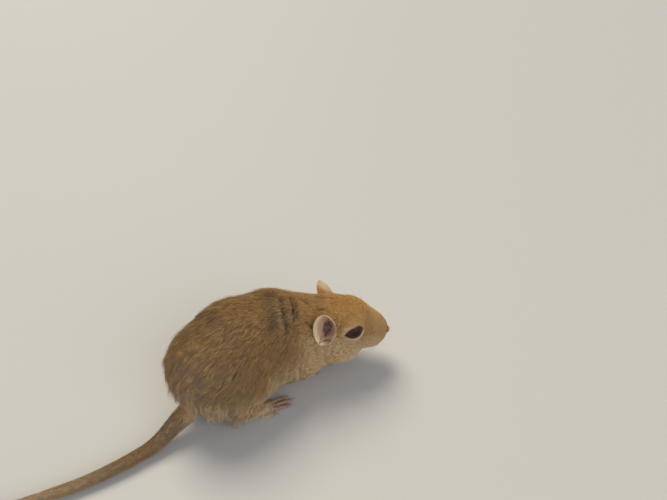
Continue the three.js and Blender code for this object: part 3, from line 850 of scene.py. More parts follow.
def on_skin(x, y):
    """The point of the skin that the camera sees at a pixel of the frame."""
    pixel = camera_data.sensor_width / FRAME_SIZE[0]
    ray = Vector(((x - FRAME_SIZE[0] / 2) * pixel, (FRAME_SIZE[1] / 2 - y) * pixel, -LENS_MM))
    ray = camera.rotation_euler.to_matrix() @ ray.normalized()
    hit = skin_tree.ray_cast(camera.location, ray)[0]
    return np.array(hit if hit else camera.location)


PARTINGS = [  # two pixels, then the half width in millimetres and the strength
    ((269, 296), (272, 327), 2.4, 0.7),
    ((280, 301), (283, 316), 0.9, 1.0),
    ((283, 313), (286, 329), 0.9, 1.0),
    ((290, 301), (293, 313), 0.8, 1.0),
    ((292, 311), (293, 320), 0.8, 0.9),
    ((303, 302), (307, 306), 0.8, 0.7),
    ((317, 311), (326, 310), 0.5, 0.6),
    ((231, 378), (234, 372), 0.6, 0.8),
    ((196, 325), (207, 320), 0.6, 0.7),
    ((306, 324), (311, 327), 0.6, 0.6),
]
FAR_PARTINGS = 12
FAR_PARTING = 7 * MM
FAR_PARTING_WIDTH = 0.6 * MM
NARROW = 1 * MM
partings = [(on_skin(*a), on_skin(*b), width * MM, strength) for a, b, width, strength in PARTINGS]
far_side = np.flatnonzero(
    (places > nape) & (places < PLACES["rump"]) & (root_normals @ head_left > 0.2) & (root_normals[:, 2] > 0)
)
for root in rng.choice(far_side, FAR_PARTINGS):
    start = roots[root]
    way = unit(-UP + 0.8 * rng.normal(size=3))
    end = start + way * FAR_PARTING * rng.uniform(0.5, 1)
    partings.append((start, end, FAR_PARTING_WIDTH, rng.uniform(0.5, 0.9)))


def gap_to_segment(points, start, end):
    run = end - start
    share = np.clip(((points - start) @ run) / (run @ run), 0, 1)
    return np.linalg.norm(points - start - share[:, None] * run, axis=1)


def parted(points, widest=10 * MM):
    """How far the coat is opened at each point, from 0 to 1, by the partings up to that width."""
    opened = np.zeros(len(points))
    for start, end, half_width, strength in partings:
        if half_width < widest:
            gap = gap_to_segment(points, start, end)
            opened = np.maximum(opened, strength * np.exp(-((gap / half_width) ** 2)))
    return opened


print(len(partings), "partings")

# %% [markdown]
# Each tuft rises from its root and bends over along the lie. It is walked over the skin in two steps, and
# each step lands on the nearest point of the skin, so a long hair follows a curved flank instead of
# standing off it. Then the tufts are gathered: real fur sticks together in locks, so every tuft leans its
# tip towards the tip of the nearest lock's middle hair, and neighbouring locks leave soft furrows.

# %% Walk the tufts over the skin
FIRST_STEP = 0.45  # share of a tuft's length before its bend
LOCK_EVERY = 22  # about one tuft in this many is the middle of a lock
LEAN = 0.17  # radians of scatter in the lie
BRUSH_SPREAD = 0.22  # outward lean of the brush's hairs, against 1 along the tail
BRUSH_SCATTER = 0.14
LOCK_LOWEST = 0.9  # how far a lock stands up, against the coat's depth
LOCK_HIGHEST = 1.15
SPIKE_LOWEST = 0.4  # the same on the rump, where a few locks stand up as spikes between low ones
SPIKE_HIGHEST = 2.4
LOCK_PULL = 0.26  # how far a tuft's tip is drawn to its lock's middle one
SPIKE_PULL = 0.6
LENGTHS = (0.75, 1.2)  # least and most, against the coat's length
LIFTS = (0.75, 1.15)  # how high tips stand, against the coat's depth
BEND_LIFT = 0.75  # how high a tuft's bend stands, against its tip
CUT_BACK = 0.6  # how much shorter a tuft is that would lie across a narrow parting
GUARD_SHARE = 0.08  # longer, finer hairs that stand a little out of the body's coat
GUARD_LIFTS = (1.2, 1.6)
GUARD_LONGER, GUARD_FINER = 1.25, 0.75
BEND_FOLLOWS = 0.4  # how much of a lock's rise its tufts' bends take up
BEND_PULLED = 0.35  # and of its pull
FLOOR_CLEAR = 0.15 * MM


def nearest_on_skin(points):
    """The nearest points of the skin, and its normals there."""
    found = [skin_tree.find_nearest(p)[:2] for p in points.tolist()]
    return np.array([f[0] for f in found]), np.array([f[1] for f in found])


lie = lie_of(roots, root_normals, places)
which_foot = along_foot(roots[on_foot])[0]
to_toes = np.array([way for _, way, _, _ in FOOT_AXES])[which_foot]
lie[on_foot] = laid_flat(to_toes - 0.2 * UP, root_normals[on_foot])
for side in EARS:
    foot_of_ear = np.array(ear_frame(side) @ Vector((0, 0, -EAR_HALF_LENGTH)))
    some = on_ear & ((roots - between_ears) @ head_left * (1 if side == "left" else -1) > 0)
    lie[some] = laid_flat(unit(roots[some] - foot_of_ear), root_normals[some])
turn = rng.normal(0, LEAN, len(roots))
across = np.cross(root_normals, lie)
lie = lie * np.cos(turn)[:, None] + across * np.sin(turn)[:, None]
length *= rng.uniform(*LENGTHS, len(roots))
along_hair = [roots + lie * (length * share)[:, None] for share in (0.35, 0.7, 1)]
across_parting = np.max([parted(points, NARROW) for points in along_hair], axis=0)
length *= 1 - CUT_BACK * across_parting
lift = rng.uniform(*LIFTS, len(roots))
guard = (rng.random(len(roots)) < GUARD_SHARE) & (places > nape) & (places < tail_root) & ~on_foot
lift[guard] *= rng.uniform(*GUARD_LIFTS, guard.sum())
length[guard] *= GUARD_LONGER
width[guard] *= GUARD_FINER
bend_base, bend_normals = nearest_on_skin(roots + lie * (length * FIRST_STEP)[:, None])
bends = bend_base + bend_normals * (depth * lift * BEND_LIFT)[:, None]
tip_lie = laid_flat(lie, bend_normals)
tip_base, tip_normals = nearest_on_skin(bend_base + tip_lie * (length * (1 - FIRST_STEP))[:, None])
tips = tip_base + tip_normals * (depth * lift)[:, None]

# The hairs of the brush are free of the skin, and reach out past the end of the tail's core
free = blend_in(places, line_end - 20, line_end - 10)[:, None]
onwards = line_back[places] + BRUSH_SPREAD * root_normals + BRUSH_SCATTER * rng.normal(size=roots.shape)
onwards = unit(onwards) * length[:, None]
bends += (roots + onwards * FIRST_STEP + root_normals * (depth * 0.5)[:, None] - bends) * free
tips += (roots + onwards + root_normals * (depth * 0.3)[:, None] - tips) * free

is_middle = rng.random(len(roots)) < 1 / LOCK_EVERY
middles = np.flatnonzero(is_middle)
lock_tree = KDTree(len(middles))
for i, at in enumerate(roots[middles].tolist()):
    lock_tree.insert(at, i)
lock_tree.balance()
lock = middles[np.array([lock_tree.find(at)[1] for at in roots.tolist()])]
on_body = (places > nape) & (places < tail_root + 4) & ~on_foot
faces_back = (root_normals * line_back[places]).sum(axis=1)
on_rump = blend_in(places, PLACES["rump"] - 20, PLACES["rump"]) * blend_in(faces_back, 0.0, 0.6)
on_rump *= blend_in(places, tail_root + 2, tail_root - 4)
chance = rng.random(len(roots))
lock_lift = LOCK_LOWEST + (LOCK_HIGHEST - LOCK_LOWEST) * chance
spike_lift = SPIKE_LOWEST + (SPIKE_HIGHEST - SPIKE_LOWEST) * chance**2
lock_lift = (lock_lift + (spike_lift - lock_lift) * on_rump)[lock]
stand = depth * lift * (lock_lift - 1) * on_body
tips += tip_normals * stand[:, None]
bends += bend_normals * (BEND_FOLLOWS * stand)[:, None]
pull = (LOCK_PULL + (SPIKE_PULL - LOCK_PULL) * on_rump) * rng.uniform(0.4, 1, len(roots))
pull = (pull * ~on_ear)[:, None]
tips += (tips[lock] - tips) * pull
bends += (bends[lock] - bends) * pull * BEND_PULLED
tips[:, 2] = np.maximum(tips[:, 2], FLOOR_CLEAR)
bends[:, 2] = np.maximum(bends[:, 2], FLOOR_CLEAR)
print(len(middles), "locks")

# %% [markdown]
# A tuft is a flat, three-sided spike: a cone with one extra ring where it bends. It is made once, and
# copied in arrays to every root, because an operator call for each of a hundred thousand would take
# minutes.

# %% One tuft, and its copies
def tuft_shape():
    """A three-sided cone with a ring at the bend: its points, their share of the way up, its faces."""
    bm = bmesh.new()
    bmesh.ops.create_cone(bm, cap_ends=True, segments=3, radius1=1, radius2=0, depth=1)
    bmesh.ops.translate(bm, verts=bm.verts, vec=(0, 0, 0.5))
    bmesh.ops.remove_doubles(bm, verts=bm.verts, dist=1e-4)
    cut = FIRST_STEP
    bmesh.ops.bisect_plane(bm, geom=bm.verts[:] + bm.edges[:] + bm.faces[:],
                           plane_co=(0, 0, cut), plane_no=(0, 0, 1))
    bmesh.ops.triangulate(bm, faces=bm.faces)
    bmesh.ops.recalc_face_normals(bm, faces=bm.faces)
    at = np.array([v.co for v in bm.verts])
    faces = np.array([[v.index for v in f.verts] for f in bm.faces])
    bm.free()
    return at, faces


shape, shape_faces = tuft_shape()
print("a tuft has", len(shape), "points and", len(shape_faces), "faces")

# %% [markdown]
# The markings are golden above and cream below: the jaw, chest, belly, the feet and a ring round each eye
# are pale, the crown is the warmest and the back a little browner. Skin and coat take all of this from one
# formula of the place, so no bare patch under the hairs has another colour. The edges between the colours
# waver, as they do on an animal. The skin in the socket behind each eye and round its opening is dark:
# partly the lids' own dark edge, partly painted shade in the socket.

# %% Markings
WAVER_WAYS = unit(np.array([(1.0, 0.3, 0.2), (-0.4, 0.9, 0.5), (0.3, -0.5, 1.0), (0.7, 0.6, -0.6)]))
WAVER_SIZE = 11 * MM
CHEST = middle("neck") + np.array([-3, -12, 0]) * MM


def waver(points):
    """A slow irregular wave over the body, mostly within -1 and 1."""
    phases = points @ WAVER_WAYS.T * (2 * np.pi / WAVER_SIZE) + np.arange(len(WAVER_WAYS))
    return np.sin(phases).sum(axis=1) / 2


def markings(points, normals, places):
    """How cream, slate and warm the coat is at each point, 0 to 1; slate partly paints shade in the sockets.
    """
    wave = waver(points)
    height = points[:, 2] + 1.6 * MM * wave
    head = blend_in((between_ears - points) @ head_forward + 1.5 * MM * wave, 19 * MM, -5 * MM)
    drop = (between_eyes - points) @ head_up + 0.8 * MM * wave
    jaw = head * blend_in(drop, -0.5 * MM, 8 * MM)
    belly = blend_in(normals[:, 2], -0.3, -0.85)
    lower = 0.38 * blend_in(height, 26 * MM, 5 * MM)
    chest_gap = np.linalg.norm((points - CHEST)[:, :2], axis=1) + 2 * MM * wave
    chest = blend_in(chest_gap, 34 * MM, 16 * MM) * blend_in(height, 27 * MM, 14 * MM)
    haunch = 0.35 * blend_in(np.abs(places - tail_root + 4.0), 14, 2) * blend_in(height, 34 * MM, 18 * MM)
    toes = blend_in(points[:, 2], 7 * MM, 3 * MM) * 0.8
    above_eye = blend_in(-drop, 0, 4 * MM)
    ring = (0.85 - 0.5 * above_eye) * blend_in(from_lids(points) + 0.8 * above_eye, 2.6, 1.5)
    muzzle = 0.25 * blend_in(places, PLACES["eyes"], PLACES["muzzle"])
    cream = np.max([0.9 * jaw, belly, lower, 0.7 * chest, haunch, toes, ring, muzzle], axis=0)
    under_tail = 0.5 * blend_in(normals[:, 2], 0.0, -0.7)
    under_tail = np.maximum(under_tail, 0.35 * blend_in(places, PLACES["tail"], PLACES["brush"]))
    cream = np.where(places > tail_root + 4, under_tail, cream)
    # Dark in and round each eye's opening: partly the lids' own dark edge, partly painted shade in the
    # socket
    socket = 0.9 * blend_in(from_lids(points), 1.2, 1.02)
    tail = 0.13 * blend_in(places, tail_root, tail_root + 8)
    slate = np.minimum(1, np.max([parted(points), socket, tail], axis=0))
    warmth = 0.2 + 0.8 * head
    return np.stack([cream, slate, warmth], axis=1)


marks_along = [
    markings(roots, root_normals, places),
    markings(bend_base, bend_normals, along_line(bend_base)),
    markings(tip_base, tip_normals, along_line(tip_base)),
]
for level in marks_along:
    level[on_ear] = np.stack([0.75 + 0.25 * blend_in(ear_rim(roots, root_normals)[0], 0.7, 0.95),
                              np.zeros(len(roots)), np.ones(len(roots))], axis=1)[on_ear]
marks = marks_along[1]
bare_points, bare_normals = vertex_arrays(skin.data)
set_colours(skin.data, "marks", markings(bare_points, bare_normals, along_line(bare_points)))
set_colours(skin.data, "hair", np.tile((0.3, 0.5, 0.0), (len(bare_points), 1)))
print("cream tufts", int((marks[:, 0] > 0.5).sum()), "and slate ones", int((marks[:, 1] > 0.4).sum()))

# %% [markdown]
# The tufts become meshes, in pieces named for the parts of the coat. Where a streak opens the coat, the
# tufts lie lower. Each tuft is also given a place on a flat map of the skin: the distance along the body
# and the turn round it are unrolled like the label of a bottle, and the tuft is a small patch there.

# %% Coat pieces
PATCH = 0.003  # size of a tuft on the flat map
MAP_EDGE = 0.01
FLATNESS = 0.45  # thickness of a tuft against its width
GIRTHS = (0.8, 1.0, 0.0)  # at a tuft's root, bend and tip, against its width
ROOT_SINK = 0.35 * MM
PARTED = 0.45  # how much of its depth the coat loses in the middle of a streak
TICKED_SHARE = 0.06  # tufts with a dark tip, on the back
TUFT_TONES, LOCK_TONES = 0.08, 0.06  # how much the tufts differ in lightness, and the locks
TAIL_DARKER, FOOT_DARKER, EAR_LIGHTER = 0.2, 0.25, 0.3


def turn_round_line(points, places):
    """Each point's turn round the body's line, from 0 to 1, starting under the belly."""
    left = unit(np.cross(UP, -line_back[places]))
    out = points - line[places]
    above = np.cross(-line_back[places], left)
    angle = np.arctan2((out * left).sum(axis=1), -(out * above).sum(axis=1))
    return angle / (2 * np.pi) + 0.5


def coat_piece(name, some):
    """One piece of the coat from the tufts whose numbers are given."""
    base = roots[some] - root_normals[some] * ROOT_SINK
    bend = bends[some] - bend_normals[some] * (depth[some] * PARTED * marks_along[1][some, 1])[:, None]
    tip = tips[some] - tip_normals[some] * (depth[some] * PARTED * marks_along[2][some, 1])[:, None]
    side = unit(np.cross(root_normals[some], lie[some]))
    out = root_normals[some]
    spine = np.stack([base, bend, tip], axis=1)
    level = np.where(shape[:, 2] < 0.01, 0, np.where(shape[:, 2] > 0.99, 2, 1))
    girth = np.array(GIRTHS)[level]
    spread = unit(shape[:, :2]) * (np.linalg.norm(shape[:, :2], axis=1) > 1e-3)[:, None]
    half = width[some][:, None, None] / 2 * girth[None, :, None]
    at = spine[:, level, :]
    at = at + side[:, None, :] * half * spread[None, :, 0:1]
    at = at + out[:, None, :] * half * FLATNESS * spread[None, :, 1:2]
    count = len(some)
    faces = shape_faces[None, :, :] + len(shape) * np.arange(count)[:, None, None]
    mesh = bpy.data.meshes.new(name)
    mesh.vertices.add(count * len(shape))
    mesh.loops.add(faces.size)
    mesh.polygons.add(faces.size // 3)
    mesh.vertices.foreach_set("co", at.ravel())
    mesh.loops.foreach_set("vertex_index", faces.ravel().astype(np.int32))
    mesh.polygons.foreach_set("loop_start", np.arange(0, faces.size, 3, dtype=np.int32))
    mesh.polygons.foreach_set("use_smooth", np.ones(faces.size // 3, dtype=bool))
    mesh.update(calc_edges=True)
    along = np.array([0.0, 0.5, 1.0])[level]
    hair = np.empty((count, len(shape), 3))
    hair[:, :, 0] = along
    hair[:, :, 1] = shade[some][:, None]
    hair[:, :, 2] = ticked[some][:, None]
    set_colours(mesh, "hair", hair.reshape(-1, 3))
    set_colours(mesh, "marks", np.stack([marks_along[i][some] for i in level], axis=1).reshape(-1, 3))
    span = places[some].astype(float)
    u = (span - span.min()) / max(np.ptp(span), 1)
    v = turn_round_line(roots[some], places[some])
    corner = np.stack([0.5 + 0.5 * spread[:, 0] * (along < 1), along], axis=1) * PATCH
    room = 1 - 2 * MAP_EDGE - PATCH
    uv = MAP_EDGE + np.stack([u, v], axis=1)[:, None, :] * room + corner[None, :, :]
    layer = mesh.uv_layers.new(name="OFBake")
    layer.data.foreach_set("uv", uv.reshape(-1, 2)[faces.ravel()].ravel())
    return make_object(name, mesh)


shade = 0.5 + TUFT_TONES * rng.normal(size=len(roots)) + LOCK_TONES * rng.normal(size=len(roots))[lock]
on_tail = blend_in(places, tail_root, tail_root + 8) * blend_in(places, PLACES["brush"], PLACES["tail"])
shade -= TAIL_DARKER * on_tail
shade[on_foot] -= FOOT_DARKER
shade[on_ear] += EAR_LIGHTER
shade = np.clip(shade, 0, 1)
ticked = (rng.random(len(roots)) < TICKED_SHARE) * (1 - marks[:, 0]) * (1 - marks[:, 2])
on_left = ((roots - line[places]) * unit(np.cross(UP, -line_back[places]))).sum(axis=1) > 0
REGIONS = [
    ("coat_face", 0, PLACES["eyes"] + 4),
    ("coat_crown", PLACES["eyes"] + 4, nape),
    ("coat_shoulder", nape, PLACES["back"] + 6),
    ("coat_flank", PLACES["back"] + 6, PLACES["rump"] - 14),
    ("coat_rump", PLACES["rump"] - 14, tail_root + 4),
    ("coat_tail", tail_root + 4, line_end + 1),
]
coat = []
for region, start, end in REGIONS:
    for side, chosen_side in (("left", on_left), ("right", ~on_left)):
        some = np.flatnonzero((places >= start) & (places < end) & chosen_side)
        coat.append(coat_piece(f"{region}_{side}", some))
        print(coat[-1].name, len(some), "tufts")

# %% [markdown]
# Fur. A gerbil's hair is slate grey at its root, golden in the middle and a little darker at its end, and
# the hairs of the belly and jaw are cream. Keratin's IOR is about 1.55. The hair is rough along its scales,
# so it shines softly, and light that grazes it makes a pale edge, which is what sheen adds.

# %% Fur material
GOLD_ROOT = "#78623f"
GOLD_SHAFT = "#a07b45"
GOLD_TIP = "#9a733c"
WARM_SHAFT = "#c6974f"
CREAM_ROOT = "#bfa278"
CREAM_TIP = "#e8c896"
SLATE_HAIR = "#3b3a31"
TICK_TIP = "#5f4a30"
FROM_ROOT = 0.4  # share of a hair's length over which the root's colour ends
TO_TIP = 0.6  # and from which the tip's begins
DARKEST, LIGHTEST = 0.78, 1.2  # how much darker or lighter a whole tuft may be
BETWEEN_TUFTS = 0.7  # how much light the tufts leave to the skin under them


def fur_material(name, darken):
    """Fur on the tufts, or on the skin between them, which lies in their shade."""
    material, tree, shader = new_material(name)
    hair = add(tree, "ShaderNodeAttribute", {"attribute_name": "hair"}, {}, "Color")
    mark = add(tree, "ShaderNodeAttribute", {"attribute_name": "marks"}, {}, "Color")
    along, tone, tick = add(tree, "ShaderNodeSeparateColor", {}, {"Color": hair}).node.outputs
    cream, slate, warmth = add(tree, "ShaderNodeSeparateColor", {}, {"Color": mark}).node.outputs
    near_root = add(tree, "ShaderNodeMapRange", {}, {"Value": along, "From Max": FROM_ROOT})
    near_tip = add(tree, "ShaderNodeMapRange", {}, {"Value": along, "From Min": TO_TIP})
    light = add(tree, "ShaderNodeMapRange", {}, {"Value": tone, "To Min": DARKEST * darken,
                                                 "To Max": LIGHTEST * darken})

    blends = [
        (warmth, GOLD_SHAFT, WARM_SHAFT),
        (warmth, GOLD_TIP, WARM_SHAFT),
        (near_root, CREAM_ROOT, CREAM_TIP),
    ]
    shaft, end, pale = [
        add(tree, "ShaderNodeMix", COLOURS, {SHARE: share, FIRST: linear(low), SECOND: linear(high)}, MIXED)
        for share, low, high in blends
    ]

    # Each layer lies over the ones before it, by its share
    layers = [(near_root, shaft), (near_tip, end), (tick, linear(TICK_TIP)), (cream, pale)]
    layers.append((slate, linear(SLATE_HAIR)))
    colour = linear(GOLD_ROOT)
    for share, over in layers:
        colour = add(tree, "ShaderNodeMix", COLOURS, {SHARE: share, FIRST: colour, SECOND: over}, MIXED)
    lit = add(tree, "ShaderNodeVectorMath", {"operation": "SCALE"}, {"Vector": colour, "Scale": light})
    set_inputs(shader, {"Base Color": lit, "Roughness": 0.62, "IOR": 1.55, "Specular IOR Level": 0.3,
                        "Sheen Weight": 0.25, "Sheen Roughness": 0.5})
    return material


fur = fur_material("fur", 1.0)
fur_in_shade = fur_material("fur_between_tufts", BETWEEN_TUFTS)
skin.data.materials.append(fur_in_shade)
for piece in coat:
    piece.data.materials.append(fur)

# %% [markdown]
# The eye is a wet dark ball that fills its socket, with its cornea bulging a little in front. The pupil is
# nearly black, and the iris round it a ruby brown. The tear film over it would mirror the window, but the
# photograph shows no bright highlight, so its shine is kept soft.

# %% Eyes
CORNEA_BULGE = 0.05
EYE_SWELL = 1.1  # the ball fills the lids a little more than the solid does
EYE_OUT = 0.3 * MM
EYE_WIDER = 1.24  # along the lids, so that it also fills their corners


def make_eye(side):
    low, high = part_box(f"eye_{side}")
    radius = (high[2] - low[2]) / 2 * EYE_SWELL
    bm = bmesh.new()
    bmesh.ops.create_uvsphere(bm, u_segments=48, v_segments=32, radius=radius)
    bmesh.ops.rotate(bm, verts=bm.verts, matrix=Matrix.Rotation(math.pi / 2, 3, "Y"))
    depth_in = []
    for vertex in bm.verts:
        facing = vertex.co.x / radius
        vertex.co *= 1 + CORNEA_BULGE * max(0.0, facing - 0.6) / 0.4
        vertex.co.y *= EYE_WIDER
        depth_in.append((math.acos(max(-1.0, min(1.0, facing))) / math.pi, 0, 0))
    place = eye_frame(side) @ Matrix.Translation((EYE_OUT, 0, 0))
    bmesh.ops.transform(bm, matrix=place, verts=bm.verts)
    bmesh.ops.recalc_face_normals(bm, faces=bm.faces)
    for face in bm.faces:
        face.smooth = True
    eye = make_object(f"eyeball_{side}", mesh_from(bm, f"eyeball_{side}"))
    set_colours(eye.data, "eye", np.array(depth_in))
    return eye


eyes = [make_eye(side) for side in EYES]


def tube(name, paths, radius, thinning=0.0):
    """Closed round tubes along paths of points, in one mesh. Thinning is how much a tube tapers."""
    curve = bpy.data.curves.new(name, "CURVE")
    curve.dimensions = "3D"
    curve.bevel_depth = radius
    curve.bevel_resolution = 2
    curve.use_fill_caps = True
    for path, closed in paths:
        spline = curve.splines.new("POLY")
        spline.points.add(len(path) - 1)
        for i, at in enumerate(path):
            spline.points[i].co = (*at, 1)
            spline.points[i].radius = 1 - thinning * i / (len(path) - 1)
        spline.use_cyclic_u = closed
    scratch = make_object(name, curve)
    mesh = bpy.data.meshes.new_from_object(scratch.evaluated_get(bpy.context.evaluated_depsgraph_get()))
    bpy.data.objects.remove(scratch)
    bm = bmesh.new()
    bm.from_mesh(mesh)
    bmesh.ops.remove_doubles(bm, verts=bm.verts, dist=WELD)
    bmesh.ops.recalc_face_normals(bm, faces=bm.faces)
    for face in bm.faces:
        face.smooth = True
    bm.to_mesh(mesh)
    bm.free()
    return make_object(name, mesh)


# %% [markdown]
# The lids are a thin dark margin, pointed towards the ear and blunt towards the nose. It is a tube bent
# round the almond of the opening, and each of its points is found by looking straight at the eye and
# stopping at the skin.

# %% Lids
LID_THICKNESS = 0.2 * MM
LID_POINTS = 64
LID_SMOOTHING = 5  # points in the running mean round the lids


def lid_path(side):
    """The edge of an eye's opening, point by point, on the skin."""
    axes = eye_frame(side)
    inwards = -axes.to_3x3().col[0]
    turns = np.arange(LID_POINTS) * 2 * np.pi / LID_POINTS
    ahead = np.cos(turns)
    along = np.where(ahead > 0, LID_FRONT, LID_REAR) * ahead * (-1 if side == "left" else 1)
    closing = np.abs(ahead) ** np.where(ahead > 0, FRONT_POWER, REAR_POWER)
    height = LID_HALF_HEIGHT * (1 - closing) * np.sign(np.sin(turns))
    looks = [axes @ Vector((LID_REACH, *at)) for at in zip(along, height)]
    out = LID_REACH - np.array([closed_skin.ray_cast(look, inwards)[3] for look in looks])
    spread = np.arange(LID_SMOOTHING) - LID_SMOOTHING // 2
    out = np.mean([np.roll(out, shift) for shift in spread], axis=0) - LID_THICKNESS / 2
    return [axes @ Vector(at) for at in zip(out, along, height)]


lids = [tube(f"lid_{side}", [(lid_path(side), True)], LID_THICKNESS) for side in EYES]
print("eyes and lids:", [len(piece.data.polygons) for piece in eyes + lids], "faces")

# %% [markdown]
# The nose is a small bare pad at the tip of the muzzle, with two comma-shaped nostrils. The solid has them,
# and a fine remesh rounds it off. The mouth is a line under it that runs back below the whisker pads, with
# a cleft up to the nose. It is a thin dark tube: partly the bare skin of the lip, partly painted shade of
# the mouth's slit. Its line is found by casting rays from inside the muzzle to the skin.

# %% Nose and mouth
nose = make_object("nose_pad", remeshed(mesh_from(welded("nose"), "nose"), 0.14 * MM, 3))
for polygon in nose.data.polygons:
    polygon.use_smooth = True
MOUTH_INSIDE = on_head(13, 0, -6.8)
MOUTH_HALF_ANGLE = math.radians(72)
MOUTH_POINTS = 25
MOUTH_DROP = (0.55, 0.12)  # how steeply the mouth's line is looked for, and how much more in front
CLEFT_DROPS = (-0.1, -0.25, -0.4, -0.55, -0.66)  # the same from the nose down to the mouth
LIP_RADIUS = 0.4 * MM


def skin_towards(start, way):
    """Where a ray from inside the head leaves the skin."""
    return np.array(skin_tree.ray_cast(Vector(start), Vector(way))[0])


def head_way(forward, left, up):
    return unit(forward * head_forward + left * head_left + up * head_up)


mouth_path = []
for i in range(MOUTH_POINTS):
    turn = (2 * i / (MOUTH_POINTS - 1) - 1) * MOUTH_HALF_ANGLE
    drop = MOUTH_DROP[0] + MOUTH_DROP[1] * math.cos(turn)
    way = head_way(math.cos(turn), math.sin(turn), -drop)
    mouth_path.append(skin_towards(MOUTH_INSIDE, way))
cleft_path = [skin_towards(MOUTH_INSIDE, head_way(1, 0, drop)) for drop in CLEFT_DROPS]
# The mouth's dark tube is partly bare lip skin and partly painted shade of its slit
mouth = tube("lips_and_slit_shade", [(mouth_path, False), (cleft_path, False)], LIP_RADIUS)
print("mouth", round(sum(np.linalg.norm(np.diff(mouth_path, axis=0), axis=1)) / MM, 1), "mm round")

# %% [markdown]
# Claws are short curved cones of translucent horn, one on each toe. They start inside the toe's end and
# come down to the floor where the solids' claws end.

# %% Claws
CLAW_ROWS = 6
CLAW_RISE = 0.6 * MM  # a claw's root lies this far over its tip
CLAW_ARCH = 0.5  # height of its arch against its length, times four


def claw_path(tip, way, length):
    """An arched path that starts inside the toe's end and comes down to the floor."""
    path = []
    for share in np.linspace(0, 1, CLAW_ROWS + 1):
        height = CLAW_RISE * (1 - share) + CLAW_ARCH * length * share * (1 - share)
        path.append(tip + way * length * (share - 1) + UP * height)
    return path


def make_claws(foot):
    paths = [(claw_path(tip, way, CLAW_LENGTH[foot[:4]]), False) for tip, way in toe_tips(foot)]
    return tube(f"claws_{foot}", paths, CLAW_RADIUS[foot[:4]], thinning=0.88)


claws = [make_claws(foot) for foot in FEET]
print("claws:", [len(piece.data.polygons) for piece in claws], "faces")

# %% [markdown]
# Whiskers grow in rows from the pad on each side of the muzzle, the hindmost longest, and a few more over
# the eye. Each is a hair that tapers to nothing and bends back under its own weight.

# %% Whiskers
WHISKER_ROWS = 4
WHISKERS_IN_ROW = 4
WHISKER_RADIUS = 0.075 * MM
WHISKER_POINTS = 12
WHISKER_SHORTEST, WHISKER_LONGER = 9.5, 2.6  # millimetres in front, and more for each place behind
WHISKER_SCATTER = 0.06


def whisker(start, way, sag, length):
    """A bent path for one whisker."""
    shares = np.linspace(0, 1, WHISKER_POINTS)[:, None]
    return start - way * 0.5 * MM + length * (way * shares + sag * shares**2)


def make_whiskers(side):
    sign = 1 if side == "left" else -1
    paths = []
    for row in range(WHISKER_ROWS):
        for i in range(WHISKERS_IN_ROW):
            inside = on_head(15.1 - 2.1 * i, 0, -4.6)
            out = head_way(0.12, sign, 0.35 - 0.34 * row)
            start = skin_towards(inside, out)
            way = head_way(-0.35 - 0.16 * i, sign, 0.42 - 0.3 * row)
            way = unit(way + WHISKER_SCATTER * rng.normal(size=3))
            sag = head_way(-1, 0, -0.25) * (0.28 + 0.05 * i)
            length = (WHISKER_SHORTEST + WHISKER_LONGER * i + rng.uniform(-1, 1)) * MM
            paths.append((whisker(start, way, sag, length), False))
    for turn in (-0.25, 0.1):
        start = skin_towards(on_head(3.0, 0, 0), head_way(0.1 + turn, sign * 0.62, 0.8))
        way = head_way(-0.5 + turn, sign * 0.55, 0.75)
        paths.append((whisker(start, way, head_way(-1, 0, -0.2) * 0.2, 10 * MM), False))
    return tube(f"whiskers_{side}", paths, WHISKER_RADIUS, thinning=0.93)


whiskers = [make_whiskers(side) for side in EYES]
print("whiskers:", [len(piece.data.polygons) for piece in whiskers], "faces")

# %% [markdown]
# Bare skin is thin and lets light through it: red blood under a pale, slightly rough surface. The same
# pink is pale on a rim of an ear and dark purple inside its cup, where the light doesn't reach, and on the
# toes fine creases cross it. Skin's IOR is about 1.4, and subsurface scattering spreads the light.

# %% Skin materials
EAR_RIM = "#e9d8b4"
EAR_SKIN = "#b99678"
# painted shade deep in an ear's cup, where the light doesn't reach
EAR_HOLLOW_SHADE = "#523436"
EAR_BACK = "#edb878"
PINK = "#9a7864"
PINK_CREASE = "#826252"
# The mouth's tube: the lip's own bare skin, darkened as painted shade of the mouth's slit
LIP_AND_SLIT_SHADE, LIP_CREASE = "#7d5650", "#5a3a36"
LID_MARGIN, LID_CREASE = "#6a4f3f", "#4d382d"
NOSE_PINK, NOSE_CREASE = "#b89b7c", "#9c7b5f"
# size of the mottle in an ear's veins and in its painted shade
EAR_BLOTCH = 0.9 * MM
TOE_CREASE = 0.9 * MM  # from one crease across a toe to the next
TOE_GRAIN = 0.45 * MM
CREASE_DEPTH = 0.1 * MM
RINGS = 0.16  # waves of a scale of 1 come about this far apart, in metres


def skin_shader(shader, scatter):
    """What all bare skin shares: a soft shine, and blood-red light a little way under the surface."""
    set_inputs(shader, {"Roughness": 0.48, "IOR": 1.4, "Subsurface Weight": scatter,
                        "Subsurface Radius": (1.0, 0.35, 0.2), "Subsurface Scale": 0.8 * MM})


